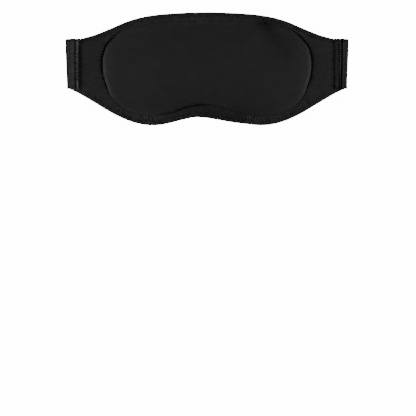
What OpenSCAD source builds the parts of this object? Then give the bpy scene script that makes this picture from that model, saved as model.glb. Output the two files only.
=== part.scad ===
// Padded sleep eye mask with a wide two-part elastic head strap.
// The mask lies on its back: +Z is the outward (front) side, +Y is towards the
// forehead, +X is towards the wearer's left ear as seen from the front.
// The origin is on the table, under the middle of the overall outline.
// Both halves of the strap leave the wing ends, turn back and lie flat under the
// mask, closed on each other by a hook patch on a loop patch.

/* [Mask outline] */
// Overall width over the two strap folds
mask_w = 250; // [236:2:264]
// Overall height, brow edge to cheek lobes
mask_h = 100; // [92:1:108]
// Distance from the middle to the line where a wing starts to bend
wing_bend_x = 98; // [95:0.5:101]

/* [Layers] */
// Thickness of the outer cover fabric
cover_t = 0.8; // [0.6:0.1:1.0]
// Thickness of the foam sheet under the whole mask
base_foam_t = 1.6; // [1.2:0.1:2.4]
// Thickness of the light-blocking film
film_t = 0.3; // [0.2:0.1:0.4]
// Thickness of the lining that touches the face
lining_t = 0.8; // [0.6:0.1:1.0]
// Height of the crowned eye pad above the rim
pad_rise = 7; // [5:0.5:10]

/* [Strap] */
// Width of the elastic strap
strap_w = 44; // [38:1:46]
// Thickness of the elastic webbing
strap_t = 1.4; // [1.2:0.1:1.6]
// Height of the strap's centreline above the middle of the mask
strap_y = 4.5; // [3:0.5:6]
// How far the sewn strap end lies on the wing
anchor_len = 8; // [7:0.5:10]
// Where the long left half of the strap ends, past the middle
hook_end_x = 80; // [72:1:88]
// Where the short right half of the strap ends, past the middle
loop_end_x = 40; // [36:1:44]

/* [Closure] */
// Length of the hook patch
hook_len = 30; // [26:1:34]
// Length of the loop patch
loop_len = 40; // [34:1:44]

/* [Edge stitching] */
// Width of the overlock stitches round the outline
overlock_w = 4.2; // [3.4:0.1:4.6]

/* [Hidden] */
$fn = 48;

sx = mask_w / 250;
sy = mask_h / 100;
gap = 0.3;             // clearance each side of a bend line
skin = 0.05;           // clearance between layers that lie on each other

// Heights of the layers, from the table up
hook_t = 1.0;          // patch with its hooks
loop_t = 0.8;          // patch with its pile
border_t = 0.5;        // patch where it has neither
border_w = 2.4;
left_run_z = 0;                                          // lower strap half
right_run_z = left_run_z + strap_t + hook_t + gap + loop_t;  // upper strap half
back_z = right_run_z + strap_t + 0.4;                    // face side of the mask
film_z = back_z + lining_t + skin;
base_z = film_z + film_t + skin;
rim_z = base_z + base_foam_t + skin;                     // underside of the cover at the rim
top_z = rim_z + cover_t;                                 // front of the rim
anchor_z = top_z + 0.1;                                  // underside of the sewn strap ends

// Right halves of the outlines, as [x, y], from the middle of the brow edge down to the nose
brow = [[0, 50], [20, 49.5], [40, 48.2], [56, 45.9], [70, 42], [84, 36.1], [98, 30.4], [112, 26.4], [118, 25.4]];
cheek = [[118, -19.5], [112, -22.4], [98, -30.6], [84, -39], [70, -45.6], [58, -49], [47, -50], [36, -49], [24, -47.6], [12, -45.5], [0, -43.5]];
// The nose notch lies a little left of the middle, so the left half has its own points there
cheek_left = concat([for (i = [0:6]) cheek[i]], [[36, -48.7], [24, -45.7], [13, -43.2], [6, -43], [0, -43.5]]);
pad = [[0, 42.4], [20, 42], [38, 41], [54, 39.2], [66, 36.8], [76, 32.6], [83, 26.4], [88.5, 19.5],
       [91.4, 11], [92, 3], [91, -6], [88.5, -15], [85, -23.5], [79, -31.5], [69, -37.7], [56, -40.9],
       [44, -41], [32, -39.4], [22, -36.4], [12, -32.9], [0, -30.5]];
pad_left = concat([for (i = [0:16]) pad[i]], [[32, -38.2], [22, -34.4], [12, -31.2], [0, -30.5]]);
wing_end = 118 * sx;
mid = [0, 4];          // the point that the rings of the pad shrink towards

function scaled(P) = [for (p = P) [p[0] * sx, p[1] * sy]];
function flipped(P) = [for (i = [len(P) - 1:-1:0]) [-P[i][0], P[i][1]]];
function tail(P) = [for (i = [1:len(P) - 1]) P[i]];
function catmull(a, b, c, d, t) =
    0.5 * (2 * b + (c - a) * t + (2 * a - 5 * b + 4 * c - d) * t * t + (3 * b - a - 3 * c + d) * t * t * t);
// A smooth open chain through points, n pieces to a span
function chain(P, n = 4) = [
    for (i = [0:len(P) - 2]) for (k = [0:n - 1])
        catmull(P[max(i - 1, 0)], P[i], P[i + 1], P[min(i + 2, len(P) - 1)], k / n),
    P[len(P) - 1]
];
brow_line = chain(concat(flipped(scaled(brow)), tail(scaled(brow))));
cheek_line = chain(concat(scaled(cheek), tail(flipped(scaled(cheek_left)))));
outline = concat(brow_line, cheek_line);
pad_line = chain(concat(flipped(scaled(pad_left)), tail(scaled(pad))), 3);

// The same chain moved sideways by d, to its right-hand side
function moved(L, d) = [
    for (i = [0:len(L) - 1])
        let (t = L[min(i + 1, len(L) - 1)] - L[max(i - 1, 0)]) L[i] + d * [t[1], -t[0]] / norm(t)
];
// Height of a chain that runs along X, at x
function y_at(L, x) = [
    for (i = [0:len(L) - 2])
        if ((L[i][0] - x) * (L[i + 1][0] - x) <= 0 && L[i][0] != L[i + 1][0])
            L[i][1] + (L[i + 1][1] - L[i][1]) * (x - L[i][0]) / (L[i + 1][0] - L[i][0])
][0];
// Distance from mid to a closed line, in the direction a
function reach(L, a) = max([
    for (i = [0:len(L) - 1])
        let (p = L[i] - mid, d = L[(i + 1) % len(L)] - L[i], u = [cos(a), sin(a)],
             den = u[0] * d[1] - u[1] * d[0])
        if (abs(den) > 1e-9)
            let (t = (p[0] * d[1] - p[1] * d[0]) / den, s = (p[0] * u[1] - p[1] * u[0]) / den)
            if (s > -1e-6 && s < 1 + 1e-6 && t > 0) t
]);

bend_x = wing_bend_x * sx;
core_x = bend_x - gap;  // the middle part's own edge at the bend
corner_up = atan2(y_at(brow_line, core_x) - mid[1], core_x);
corner_down = atan2(mid[1] - y_at(cheek_line, core_x), core_x);
sides = 16;
brows = 26;
cheeks = 36;
// Directions of the ring points, with one in each corner at the bend
turns = concat(
    [for (i = [0:sides - 1]) -corner_down + (corner_up + corner_down) * i / sides],
    [for (i = [0:brows - 1]) corner_up + (180 - 2 * corner_up) * i / brows],
    [for (i = [0:sides - 1]) 180 - corner_up + (corner_up + corner_down) * i / sides],
    [for (i = [0:cheeks - 1]) 180 + corner_down + (180 - 2 * corner_down) * i / cheeks]
);
core_reach = [for (a = turns) min(reach(outline, a), core_x / max(abs(cos(a)), 1e-6))];
pad_reach = [for (a = turns) min(reach(pad_line, a), (core_x - 0.4) / max(abs(cos(a)), 1e-6))];

// A ring at a share of the pad's outline, or of the core's, at one height
function pad_ring(s, z) = [for (i = [0:len(turns) - 1]) [mid[0] + s * pad_reach[i] * cos(turns[i]), mid[1] + s * pad_reach[i] * sin(turns[i]), z]];
function core_ring(z) = [for (i = [0:len(turns) - 1]) [mid[0] + core_reach[i] * cos(turns[i]), mid[1] + core_reach[i] * sin(turns[i]), z]];
function crown(s) = pad_rise * pow(max(0, 1 - pow(s, 2.2)), 0.75);
shares = [0.985, 0.95, 0.89, 0.8, 0.68, 0.52, 0.34, 0.16];

// A closed body from a stack of rings with a centre point at each end
module rings(R, low, high) {
    n = len(R[0]);
    m = len(R);
    points = concat([for (r = R) each r], [low, high]);
    faces = concat(
        [for (i = [0:n - 1]) [m * n, i, (i + 1) % n]],
        [for (k = [0:m - 2]) for (i = [0:n - 1]) each [
            [k * n + i, (k + 1) * n + (i + 1) % n, k * n + (i + 1) % n],
            [k * n + i, (k + 1) * n + i, (k + 1) * n + (i + 1) % n]]],
        [for (i = [0:n - 1]) [(m - 1) * n + i, m * n + 1, (m - 1) * n + (i + 1) % n]]
    );
    polyhedron(points, faces);
}

// Rows of short stitches along Y
module stitch_row(x, y0, y1, z, pitch = 3, size = 0.45) {
    n = floor((y1 - y0) / pitch);
    for (i = [0:n - 1])
        translate([x - size / 2, y0 + (y1 - y0 - n * pitch) / 2 + i * pitch + 0.5, z])
            cube([size, pitch - 1, 0.25]);
}
// Rows of short stitches along X
module stitch_line(y, x0, x1, z, pitch = 3, size = 0.45) {
    n = floor((x1 - x0) / pitch);
    for (i = [0:n - 1])
        translate([x0 + (x1 - x0 - n * pitch) / 2 + i * pitch + 0.5, y - size / 2, z])
            cube([pitch - 1, size, 0.25]);
}

// One layer between x0 and x1, cut inset inside the outline
module sheet(x0, x1, z, t, inset) {
    translate([0, 0, z]) linear_extrude(t) intersection() {
        polygon(concat(moved(brow_line, inset), moved(cheek_line, inset)));
        translate([x0, -80]) square([x1 - x0, 160]);
    }
}
module core_sheet(z, t, inset = 0) { sheet(-core_x, core_x, z, t, inset); }
// The same on the right wing
module wing_sheet(z, t, inset = 0) { sheet(bend_x + gap, wing_end - inset / 2, z, t, inset); }
// Overlock stitches along both edges, from x0 to x1
module overlock(x0, x1) {
    color([0.08, 0.08, 0.08]) translate([0, 0, top_z + 0.02]) linear_extrude(0.25) for (L = [brow_line, cheek_line])
        intersection() {
            A = moved(L, 0.3);
            B = moved(L, 0.3 + overlock_w);
            polygon(concat(A, [for (i = [len(B) - 1:-1:0]) B[i]]));
            translate([x0, -80]) square([x1 - x0, 160]);
        }
}
module left_side() { mirror([1, 0, 0]) children(); }

// ---- Middle of the mask ----
// Outer cover: a flat rim that rises into the crowned pad
module front_cover() {
    color([0.13, 0.13, 0.13]) rings(
        concat([for (i = [len(shares) - 1:-1:0]) pad_ring(shares[i], rim_z + crown(shares[i]))],
               [pad_ring(1, rim_z), core_ring(rim_z), core_ring(top_z), pad_ring(1, top_z)],
               [for (s = shares) pad_ring(s, top_z + crown(s))]),
        [mid[0], mid[1], rim_z + crown(0)], [mid[0], mid[1], top_z + crown(0)]);
}
// Moulded foam that fills the crown
module eye_pad_foam() {
    color([0.25, 0.25, 0.26]) rings(
        concat([pad_ring(shares[0], rim_z + skin)],
               [for (s = shares) pad_ring(s, rim_z + crown(s) - 0.1)]),
        [mid[0], mid[1], rim_z + skin], [mid[0], mid[1], rim_z + crown(0) - 0.1]);
}
module base_foam() { color([0.3, 0.3, 0.31]) core_sheet(base_z, base_foam_t, 2); }
module blackout_film() { color([0.05, 0.05, 0.05]) core_sheet(film_z, film_t, 2.4); }
module back_lining() { color([0.15, 0.15, 0.155]) core_sheet(back_z, lining_t); }
// Thread of the seam that runs round the pad
module pad_seam_thread() {
    n = len(turns);
    function band(s, z) = [for (i = [0:n - 1]) let (r = pad_reach[i] + s) [mid[0] + r * cos(turns[i]), mid[1] + r * sin(turns[i]), z]];
    R = [band(0.1, top_z + skin), band(0.55, top_z + skin), band(0.55, top_z + 0.35), band(0.1, top_z + 0.35)];
    color([0.08, 0.08, 0.08]) polyhedron(
        [for (r = R) each r],
        [for (k = [0:3]) for (i = [0:n - 1]) each [
            [k * n + i, ((k + 1) % 4) * n + (i + 1) % n, k * n + (i + 1) % n],
            [k * n + i, ((k + 1) % 4) * n + i, ((k + 1) % 4) * n + (i + 1) % n]]]);
}

module edge_overlock() { overlock(-core_x, core_x); }

// ---- Wings and sewn strap ends ----
module wing_cover() { color([0.13, 0.13, 0.13]) wing_sheet(rim_z, cover_t); }
module wing_foam() { color([0.3, 0.3, 0.31]) wing_sheet(film_z + 0.3, rim_z - film_z - 0.6, 2); }
module wing_lining() { color([0.15, 0.15, 0.155]) wing_sheet(back_z, lining_t); }
module wing_overlock() { overlock(bend_x + gap, edge_x - 5 - anchor_len - 0.4); }
strap_low = strap_y * sy - strap_w / 2;
strap_high = strap_y * sy + strap_w / 2;
edge_x = mask_w / 2;
// Centreline height and radius of each fold, and its centre
left_fold_r = (anchor_z - left_run_z) / 2;
left_fold_z = (anchor_z + left_run_z + strap_t) / 2;
left_fold_x = edge_x - left_fold_r - strap_t / 2;
right_fold_r = (anchor_z - right_run_z) / 2;
right_fold_z = (anchor_z + right_run_z + strap_t) / 2;
right_fold_x = edge_x - right_fold_r - strap_t / 2;

module anchor(fold_x) {
    color([0.18, 0.18, 0.18])
        translate([edge_x - 5 - anchor_len, strap_low, anchor_z]) cube([fold_x - 0.1 - edge_x + 5 + anchor_len, strap_w, strap_t]);
}
module anchor_stitches() {
    color([0.05, 0.05, 0.05]) {
        stitch_row(edge_x - 4.2 - anchor_len, strap_low + 1, strap_high - 1, anchor_z + strap_t + 0.02);
        stitch_row(edge_x - 0.4 - anchor_len, strap_low + 1, strap_high - 1, anchor_z + strap_t + 0.02);
    }
}
// Half ring that turns the strap back under the wing
module fold(x, z, r) {
    color([0.18, 0.18, 0.18]) translate([x, strap_high, z]) rotate([90, 0, 0]) rotate([0, 0, -90])
        rotate_extrude(angle = 180) translate([r - strap_t / 2, 0]) square([strap_t, strap_w]);
}

// ---- Strap halves ----
module webbing(x0, x1, z) { color([0.18, 0.18, 0.18]) translate([x0, strap_low, z]) cube([x1 - x0, strap_w, strap_t]); }
hook_x = hook_end_x - 2 - hook_len;       // start of the hook patch
tab_x = hook_x - 4;                       // where the hook tab bends
carrier_x = tab_x - 12;
loop_x = loop_end_x + 2;                  // start of the loop patch
loop_out = loop_x + loop_len + 2;         // where the stiffened end meets the elastic
module left_elastic() { webbing(-left_fold_x + 0.1, carrier_x - 0.1, left_run_z); }
module left_end_webbing() { webbing(carrier_x, tab_x, left_run_z); }
module hook_tab_webbing() { webbing(tab_x + gap, hook_end_x, left_run_z); }
module right_elastic() { webbing(loop_out + 0.1, right_fold_x - 0.1, right_run_z); }
module right_end_webbing() { webbing(loop_end_x, loop_out, right_run_z); }
// Flat patch with a raised field inside a low border
module patch(x, l, t) {
    translate([x, strap_low + 2, 0]) cube([l, strap_w - 4, border_t]);
    translate([x + border_w, strap_low + 2 + border_w, border_t - 0.05]) cube([l - 2 * border_w, strap_w - 4 - 2 * border_w, t - border_t + 0.05]);
}
module patch_stitches(x, l) {
    translate([0, 0, border_t + 0.02]) {
        stitch_row(x + border_w / 2, strap_low + 3, strap_high - 3, 0, 3, 0.4);
        stitch_row(x + l - border_w / 2, strap_low + 3, strap_high - 3, 0, 3, 0.4);
        stitch_line(strap_low + 2 + border_w / 2, x + 2, x + l - 2, 0, 3, 0.4);
        stitch_line(strap_high - 2 - border_w / 2, x + 2, x + l - 2, 0, 3, 0.4);
    }
}
module hook_patch() { color([0.1, 0.1, 0.1]) translate([0, 0, left_run_z + strap_t]) patch(hook_x, hook_len, hook_t); }
module hook_patch_stitches() { color([0.05, 0.05, 0.05]) translate([0, 0, left_run_z + strap_t]) patch_stitches(hook_x, hook_len); }
module loop_patch() { color([0.09, 0.09, 0.09]) translate([0, 0, right_run_z]) mirror([0, 0, 1]) patch(loop_x, loop_len, loop_t); }
module loop_patch_stitches() { color([0.05, 0.05, 0.05]) translate([0, 0, right_run_z]) mirror([0, 0, 1]) patch_stitches(loop_x, loop_len); }

front_cover();
eye_pad_foam();
base_foam();
blackout_film();
back_lining();
pad_seam_thread();
edge_overlock();
left_side() wing_cover();  // left_wing_cover
left_side() wing_foam();  // left_wing_foam
left_side() wing_lining();  // left_wing_lining
left_side() wing_overlock();  // left_wing_overlock
left_side() anchor(left_fold_x);  // left_strap_anchor
left_side() anchor_stitches();  // left_anchor_stitches
left_side() fold(left_fold_x, left_fold_z, left_fold_r);  // left_strap_fold
left_elastic();
left_end_webbing();
hook_tab_webbing();
hook_patch();
hook_patch_stitches();
wing_cover();  // right_wing_cover
wing_foam();  // right_wing_foam
wing_lining();  // right_wing_lining
wing_overlock();  // right_wing_overlock
anchor(right_fold_x);  // right_strap_anchor
anchor_stitches();  // right_anchor_stitches
fold(right_fold_x, right_fold_z, right_fold_r);  // right_strap_fold
right_elastic();
right_end_webbing();
loop_patch();
loop_patch_stitches();
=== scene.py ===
import math

import bpy
import numpy as np
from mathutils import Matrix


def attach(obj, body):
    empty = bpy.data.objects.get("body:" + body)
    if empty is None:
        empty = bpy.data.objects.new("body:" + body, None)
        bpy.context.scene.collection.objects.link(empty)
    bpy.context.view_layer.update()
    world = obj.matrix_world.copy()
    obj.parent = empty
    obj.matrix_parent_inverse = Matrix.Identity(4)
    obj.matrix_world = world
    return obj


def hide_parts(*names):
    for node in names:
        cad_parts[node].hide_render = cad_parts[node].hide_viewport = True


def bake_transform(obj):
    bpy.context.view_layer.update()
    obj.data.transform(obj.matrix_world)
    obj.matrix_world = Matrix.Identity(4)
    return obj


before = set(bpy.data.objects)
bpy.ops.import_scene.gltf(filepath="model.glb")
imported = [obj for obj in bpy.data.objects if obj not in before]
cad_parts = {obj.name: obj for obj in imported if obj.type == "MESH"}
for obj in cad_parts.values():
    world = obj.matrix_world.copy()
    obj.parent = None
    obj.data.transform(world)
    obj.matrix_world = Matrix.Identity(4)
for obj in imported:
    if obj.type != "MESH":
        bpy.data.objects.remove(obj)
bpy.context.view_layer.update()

MM = 0.001
rng = np.random.default_rng(7)

# ------------------------------------------------------------------ camera
cam_data = bpy.data.cameras.new("camera")
cam = bpy.data.objects.new("camera", cam_data)
bpy.context.scene.collection.objects.link(cam)
bpy.context.scene.camera = cam
CAM_H = 3.0
cam_data.sensor_width = 36.0
cam_data.lens = 36.0 * (CAM_H - 0.010) / 0.3666
cam_data.clip_start = 0.05
cam_data.clip_end = 20.0
cam.location = (0.0009, -0.1228, CAM_H)


# ------------------------------------------------------------------ mesh helpers
def make(name, verts, faces, smooth=True, uv=None, shade=None, hard=()):
    """Object from points in mm. hard holds groups of points: an edge inside one group is a sharp one, so that the
    shading doesn't turn round it."""
    me = bpy.data.meshes.new(name)
    v = np.asarray(verts, float) * MM
    me.from_pydata(v.tolist(), [], [tuple(int(i) for i in f) for f in faces])
    me.update()
    me.polygons.foreach_set("use_smooth", [smooth] * len(me.polygons))
    rest = me.attributes.new("rest_mm", "FLOAT_VECTOR", "POINT")
    src = np.asarray(verts if uv is None else uv, float)
    rest.data.foreach_set("vector", src.astype(np.float32).ravel())
    # the shade attribute carries painted shade and painted highlight for the colour
    if shade is not None:
        tone = me.attributes.new("shade", "FLOAT", "POINT")
        tone.data.foreach_set("value", np.asarray(shade, np.float32))
    if len(hard):
        ends = np.empty(len(me.edges) * 2, np.int32)
        me.edges.foreach_get("vertices", ends)
        ends = ends.reshape(-1, 2)
        sharp = np.zeros(len(me.edges), bool)
        for group in hard:
            inside = np.zeros(len(me.vertices), bool)
            inside[list(group)] = True
            sharp |= inside[ends].all(1)
        me.attributes.new("sharp_edge", "BOOLEAN", "EDGE").data.foreach_set("value", sharp)
    ob = bpy.data.objects.new(name, me)
    bpy.context.scene.collection.objects.link(ob)
    return ob


def grid_faces(rows, cols, wrap=False, flip=False, base=0):
    out = []
    n = cols if wrap else cols - 1
    for r in range(rows - 1):
        for c in range(n):
            a = base + r * cols + c
            b = base + r * cols + (c + 1) % cols
            d = base + (r + 1) * cols + c
            e = base + (r + 1) * cols + (c + 1) % cols
            out.append((a, d, e, b) if flip else (a, b, e, d))
    return out


def catmull(pts, n):
    pts = np.asarray(pts, float)
    out = []
    for i in range(len(pts) - 1):
        a = pts[max(i - 1, 0)]
        b = pts[i]
        c = pts[i + 1]
        d = pts[min(i + 2, len(pts) - 1)]
        for k in range(n):
            t = k / n
            out.append(0.5 * (2 * b + (c - a) * t + (2 * a - 5 * b + 4 * c - d) * t * t + (3 * b - a - 3 * c + d) * t ** 3))
    out.append(pts[-1])
    return np.array(out)


def resample(P, step, closed=False):
    P = np.asarray(P, float)
    Q = np.vstack([P, P[:1]]) if closed else P
    L = np.concatenate([[0], np.cumsum(np.linalg.norm(np.diff(Q, axis=0), axis=1))])
    n = max(2, int(round(L[-1] / step)))
    s = np.linspace(0, L[-1], n, endpoint=False) if closed else np.linspace(0, L[-1], n + 1)
    return np.stack([np.interp(s, L, Q[:, k]) for k in range(Q.shape[1])], 1), s


def nearest(P, Q):
    """Distance from each P to the nearest of the points Q, and its index."""
    P = np.asarray(P, float)
    D = np.empty(len(P))
    I = np.empty(len(P), int)
    q2 = (Q ** 2).sum(1)
    for k in range(0, len(P), 6000):
        p = P[k:k + 6000]
        d2 = (p ** 2).sum(1)[:, None] + q2[None] - 2 * p @ Q.T
        i = d2.argmin(1)
        I[k:k + 6000] = i
        D[k:k + 6000] = np.sqrt(np.maximum(d2[np.arange(len(p)), i], 0))
    return D, I


def smooth01(t):
    t = np.clip(t, 0, 1)
    return t * t * (3 - 2 * t)


_tab = rng.random((64, 64))


def noise(x, y, scale, seed=0):
    """Smooth value noise from -1 to 1, with features about scale mm across."""
    x = np.asarray(x, float) / scale + 17.3 * seed + 5.1
    y = np.asarray(y, float) / scale + 9.7 * seed + 3.3
    xi, yi = np.floor(x).astype(int), np.floor(y).astype(int)
    fx, fy = smooth01(x - xi), smooth01(y - yi)
    g = lambda a, b: _tab[a % 64, b % 64]
    v = (g(xi, yi) * (1 - fx) * (1 - fy) + g(xi + 1, yi) * fx * (1 - fy) + g(xi, yi + 1) * (1 - fx) * fy + g(xi + 1, yi + 1) * fx * fy)
    return 2 * v - 1


# ------------------------------------------------------------------ outlines (mm), as in the frame model
brow = np.array([[0, 50], [20, 49.5], [40, 48.2], [56, 45.9], [70, 42], [84, 36.1], [98, 30.4], [112, 26.4], [118, 25.4]], float)
cheek = np.array([[118, -19.5], [112, -22.4], [98, -30.6], [84, -39], [70, -45.6], [58, -49], [47, -50], [36, -49], [24, -47.6], [12, -45.5], [0, -43.5]], float)
cheek_left = np.vstack([cheek[:7], [[36, -48.7], [24, -45.7], [13, -43.2], [6, -43], [0, -43.5]]])
pad = np.array([[0, 42.4], [20, 42], [38, 41], [54, 39.2], [66, 36.8], [76, 32.6], [83, 26.4], [88.5, 19.5],
                [91.4, 11], [92, 3], [91, -6], [88.5, -15], [85, -23.5], [79, -31.5], [69, -37.7], [56, -40.9],
                [44, -41], [32, -39.4], [22, -36.4], [12, -32.9], [0, -30.5]], float)
pad_left = np.vstack([pad[:17], [[32, -38.2], [22, -34.4], [12, -31.2], [0, -30.5]]])
flip = lambda P: P[::-1] * np.array([-1, 1])
N_CAT = 40
brow_line = catmull(np.vstack([flip(brow), brow[1:]]), N_CAT)
cheek_line = catmull(np.vstack([cheek, flip(cheek_left)[1:]]), N_CAT)
pad_line = catmull(np.vstack([flip(pad_left), pad[1:]]), N_CAT)     # closed, clockwise from the nose
SEAM, SEAM_S = resample(pad_line[:-1], 0.3, closed=True)
EDGE, EDGE_S = resample(np.vstack([brow_line, cheek_line]), 0.3, closed=True)
SEAM_LEN = SEAM_S[-1] + 0.3


def half(line, side):
    """The part of a line on one side, in right-hand coordinates, from its first to its last point there."""
    P = line * (np.array([1.0, 1.0]) if side == "right" else np.array([-1.0, 1.0]))
    P = P[P[:, 0] >= -1e-9]
    return P if side == "right" else P[::-1]


def closed_normals(P):
    t = np.roll(P, -1, 0) - np.roll(P, 1, 0)
    n = np.stack([-t[:, 1], t[:, 0]], 1)
    return n / np.linalg.norm(n, axis=1)[:, None]


SEAM_N = closed_normals(SEAM)          # outwards, because the line runs clockwise
EDGE_N = closed_normals(EDGE)
TOP, BACK, MID = 8.95, 5.3, 7.12
RISE = 7.0                          # how far the eye pad stands above the rim
CX, CY = 0.0, 4.0


def angle_of(P):
    return np.degrees(np.arctan2(P[:, 1] - CY, P[:, 0] - CX)) % 360


def knots(a, pairs):
    k = np.array(pairs, float)
    return np.interp(a, k[:, 0], k[:, 1], period=360)


# how sharply the pad stands up from the rim, around it
STRONG = [(0, 1), (15, 1), (20, 0.8), (25, 0.36), (30, 0.1), (36, 0.0), (90, 0.0), (147, 0.0), (153, 0.1), (158, 0.42), (163, 0.88), (168, 1), (180, 1), (188, 0.9),
          (196, 0.45), (203, 0.12), (210, 0.03), (224, 0.02), (229, 0.35), (236, 1.3), (266, 1.4), (276, 0.85), (286, 0.22), (294, 0.03), (316, 0.02),
          (330, 0.05), (337, 0.15), (344, 0.5), (351, 0.9)]
SEAM_K = knots(angle_of(SEAM), STRONG)
k = np.ones(41) / 41
SEAM_K = np.convolve(np.concatenate([SEAM_K[-20:], SEAM_K, SEAM_K[:20]]), k, "valid")


SPARSE = np.arange(0, len(SEAM), 8)


def strength(P):
    """Crease strength at any point: that of the seam near it, without steps further in."""
    Q, q = SEAM[SPARSE], SEAM_K[SPARSE]
    out = np.empty(len(P))
    for k in range(0, len(P), 8000):
        p = P[k:k + 8000]
        d2 = (p ** 2).sum(1)[:, None] + (Q ** 2).sum(1)[None] - 2 * p @ Q.T
        w = 1 / (np.maximum(d2, 0) + 1.0) ** 2
        out[k:k + 8000] = (w * q[None]).sum(1) / w.sum(1)
    return out


def gathers(s, seed, pitch=2.3):
    """Small folds at a slightly uneven pitch, from 0 to 1, along a line."""
    ph = s / pitch + 0.35 * noise(s, s * 0, 9.0, seed) + 0.12 * noise(s, s * 0, 2.6, seed + 3)
    g = 0.5 + 0.5 * np.cos(2 * np.pi * ph)
    amp = 0.62 + 0.38 * noise(s, s * 0 + 40, 5.0, seed + 1)
    return g * np.clip(amp, 0.15, 1.0)


EDGE_LEN = EDGE_S[-1] + 0.3
EDGE_PITCH = EDGE_LEN / round(EDGE_LEN / 2.2)


def bars(s, seed):
    """The folds between the overlock bars: an even pitch, uneven depth. Lowest under the bars."""
    amp = 0.72 + 0.38 * noise(s, s * 0 + 11, 7.0, seed) + 0.2 * noise(s, s * 0 + 7, 2.05, seed + 1)
    return (0.5 - 0.5 * np.cos(2 * np.pi * (s / EDGE_PITCH - 0.5))) * np.clip(amp, 0.2, 1.2)


def swell():
    """The pad's crown: a closed body of the pad's outline, blown up as cloth that is held at its seam.
    Returns the height of its top over the seam on a grid of points, from 0 to 1."""
    c = np.array([CX, CY])
    ring, _ = resample(pad_line[:-1], 3.0, closed=True)
    n = len(ring)
    rows, zs = [], []
    for f in (1.0, 0.93, 0.84, 0.73, 0.6, 0.46, 0.31, 0.16):
        rows.append(c + (ring - c) * f)
        zs.append(np.full(n, 8.6 + 5.5 * (1 - f ** 2.4)))
    V = [np.column_stack([np.vstack(rows), np.concatenate(zs)]), [[c[0], c[1], 14.1]]]
    m = len(rows)
    F = grid_faces(m, n, wrap=True) + [((m - 1) * n + i, (m - 1) * n + (i + 1) % n, m * n) for i in range(n)]
    base = m * n + 1
    V.append(np.column_stack([ring, np.full(n, 6.6)]))
    V.append([[c[0], c[1], 6.6]])
    F += [(i, base + i, base + (i + 1) % n, (i + 1) % n) for i in range(n)]
    F += [(base + i, base + n, base + (i + 1) % n) for i in range(n)]
    V = np.vstack(V)
    me = bpy.data.meshes.new("swell")
    me.from_pydata((V * MM).tolist(), [], [tuple(int(k) for k in f) for f in F])
    ob = bpy.data.objects.new("swell", me)
    bpy.context.scene.collection.objects.link(ob)
    rm = ob.modifiers.new("remesh", "REMESH")
    rm.mode = "VOXEL"
    rm.voxel_size = 0.004
    dg = bpy.context.evaluated_depsgraph_get()
    body = bpy.data.meshes.new_from_object(ob.evaluated_get(dg))
    ob.modifiers.clear()
    ob.data = body
    start = np.empty(len(body.vertices) * 3)
    body.vertices.foreach_get("co", start)
    start = start.reshape(-1, 3)
    d, i = nearest(start[:, :2] / MM, SEAM)
    pin = ob.vertex_groups.new(name="pin")
    held = np.where((d < 3.0) | (start[:, 2] < 0.0075))[0]
    pin.add([int(k) for k in held], 1.0, "REPLACE")
    cl = ob.modifiers.new("cloth", "CLOTH")
    st = cl.settings
    st.quality = 6
    st.mass = 0.002
    st.tension_stiffness = st.compression_stiffness = 6
    st.shear_stiffness = 3
    st.bending_stiffness = 0.3
    st.use_pressure = True
    st.uniform_pressure_force = 4.0
    st.vertex_group_mass = "pin"
    st.effector_weights.gravity = 0.0
    cl.collision_settings.use_collision = False
    cl.point_cache.frame_start, cl.point_cache.frame_end = 1, 20
    sc = bpy.context.scene
    for f in range(1, 21):
        sc.frame_set(f)
        ob.evaluated_get(bpy.context.evaluated_depsgraph_get())
    done = bpy.data.meshes.new_from_object(ob.evaluated_get(bpy.context.evaluated_depsgraph_get()))
    sc.frame_set(1)
    out = np.empty(len(done.vertices) * 3)
    done.vertices.foreach_get("co", out)
    out = out.reshape(-1, 3)
    move = out - start
    L = np.linalg.norm(move, axis=1)
    cap = 0.010
    move *= (np.minimum(L, cap) / np.maximum(L, 1e-9))[:, None]
    out = start + move
    print("swell: points", len(out), "largest move mm", round(float(L.max() * 1000), 2), "mean", round(float(L.mean() * 1000), 2))
    from mathutils.bvhtree import BVHTree
    tree = BVHTree.FromPolygons([tuple(v) for v in out], [tuple(q.vertices) for q in done.polygons])
    gx, gy = np.arange(-96, 96.1, 2.0), np.arange(-46, 48.1, 2.0)
    Z = np.zeros((len(gy), len(gx)))
    for r, y in enumerate(gy):
        for q, x in enumerate(gx):
            hit = tree.ray_cast((x * MM, y * MM, 0.1), (0, 0, -1))
            Z[r, q] = hit[0][2] * 1000 if hit[0] is not None else 8.6
    bpy.data.objects.remove(ob)
    for old in (me, body, done):
        bpy.data.meshes.remove(old)
    Z = np.maximum(Z - 9.4, 0)
    k = np.array([0.25, 0.5, 0.25])
    for _ in range(3):
        Z = np.apply_along_axis(lambda v: np.convolve(v, k, "same"), 0, Z)
        Z = np.apply_along_axis(lambda v: np.convolve(v, k, "same"), 1, Z)
    return gx, gy, Z / Z.max()


SWELL = swell()


def crown_share(x, y, d):
    """How far the crown has risen at a point, from 0 at the seam to 1 on top."""
    if SWELL is None:
        return 1 - (1 - np.clip(d / 34.0, 0, 1)) ** 2
    gx, gy, Z = SWELL
    fx = np.clip((x - gx[0]) / 2.0, 0, len(gx) - 1.001)
    fy = np.clip((y - gy[0]) / 2.0, 0, len(gy) - 1.001)
    i, j = fx.astype(int), fy.astype(int)
    u, v = smooth01(fx - i) * 0.0 + (fx - i), fy - j
    z = Z[j, i] * (1 - u) * (1 - v) + Z[j, i + 1] * u * (1 - v) + Z[j + 1, i] * (1 - u) * v + Z[j + 1, i + 1] * u * v
    return z * smooth01(d / 6.0)


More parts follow.
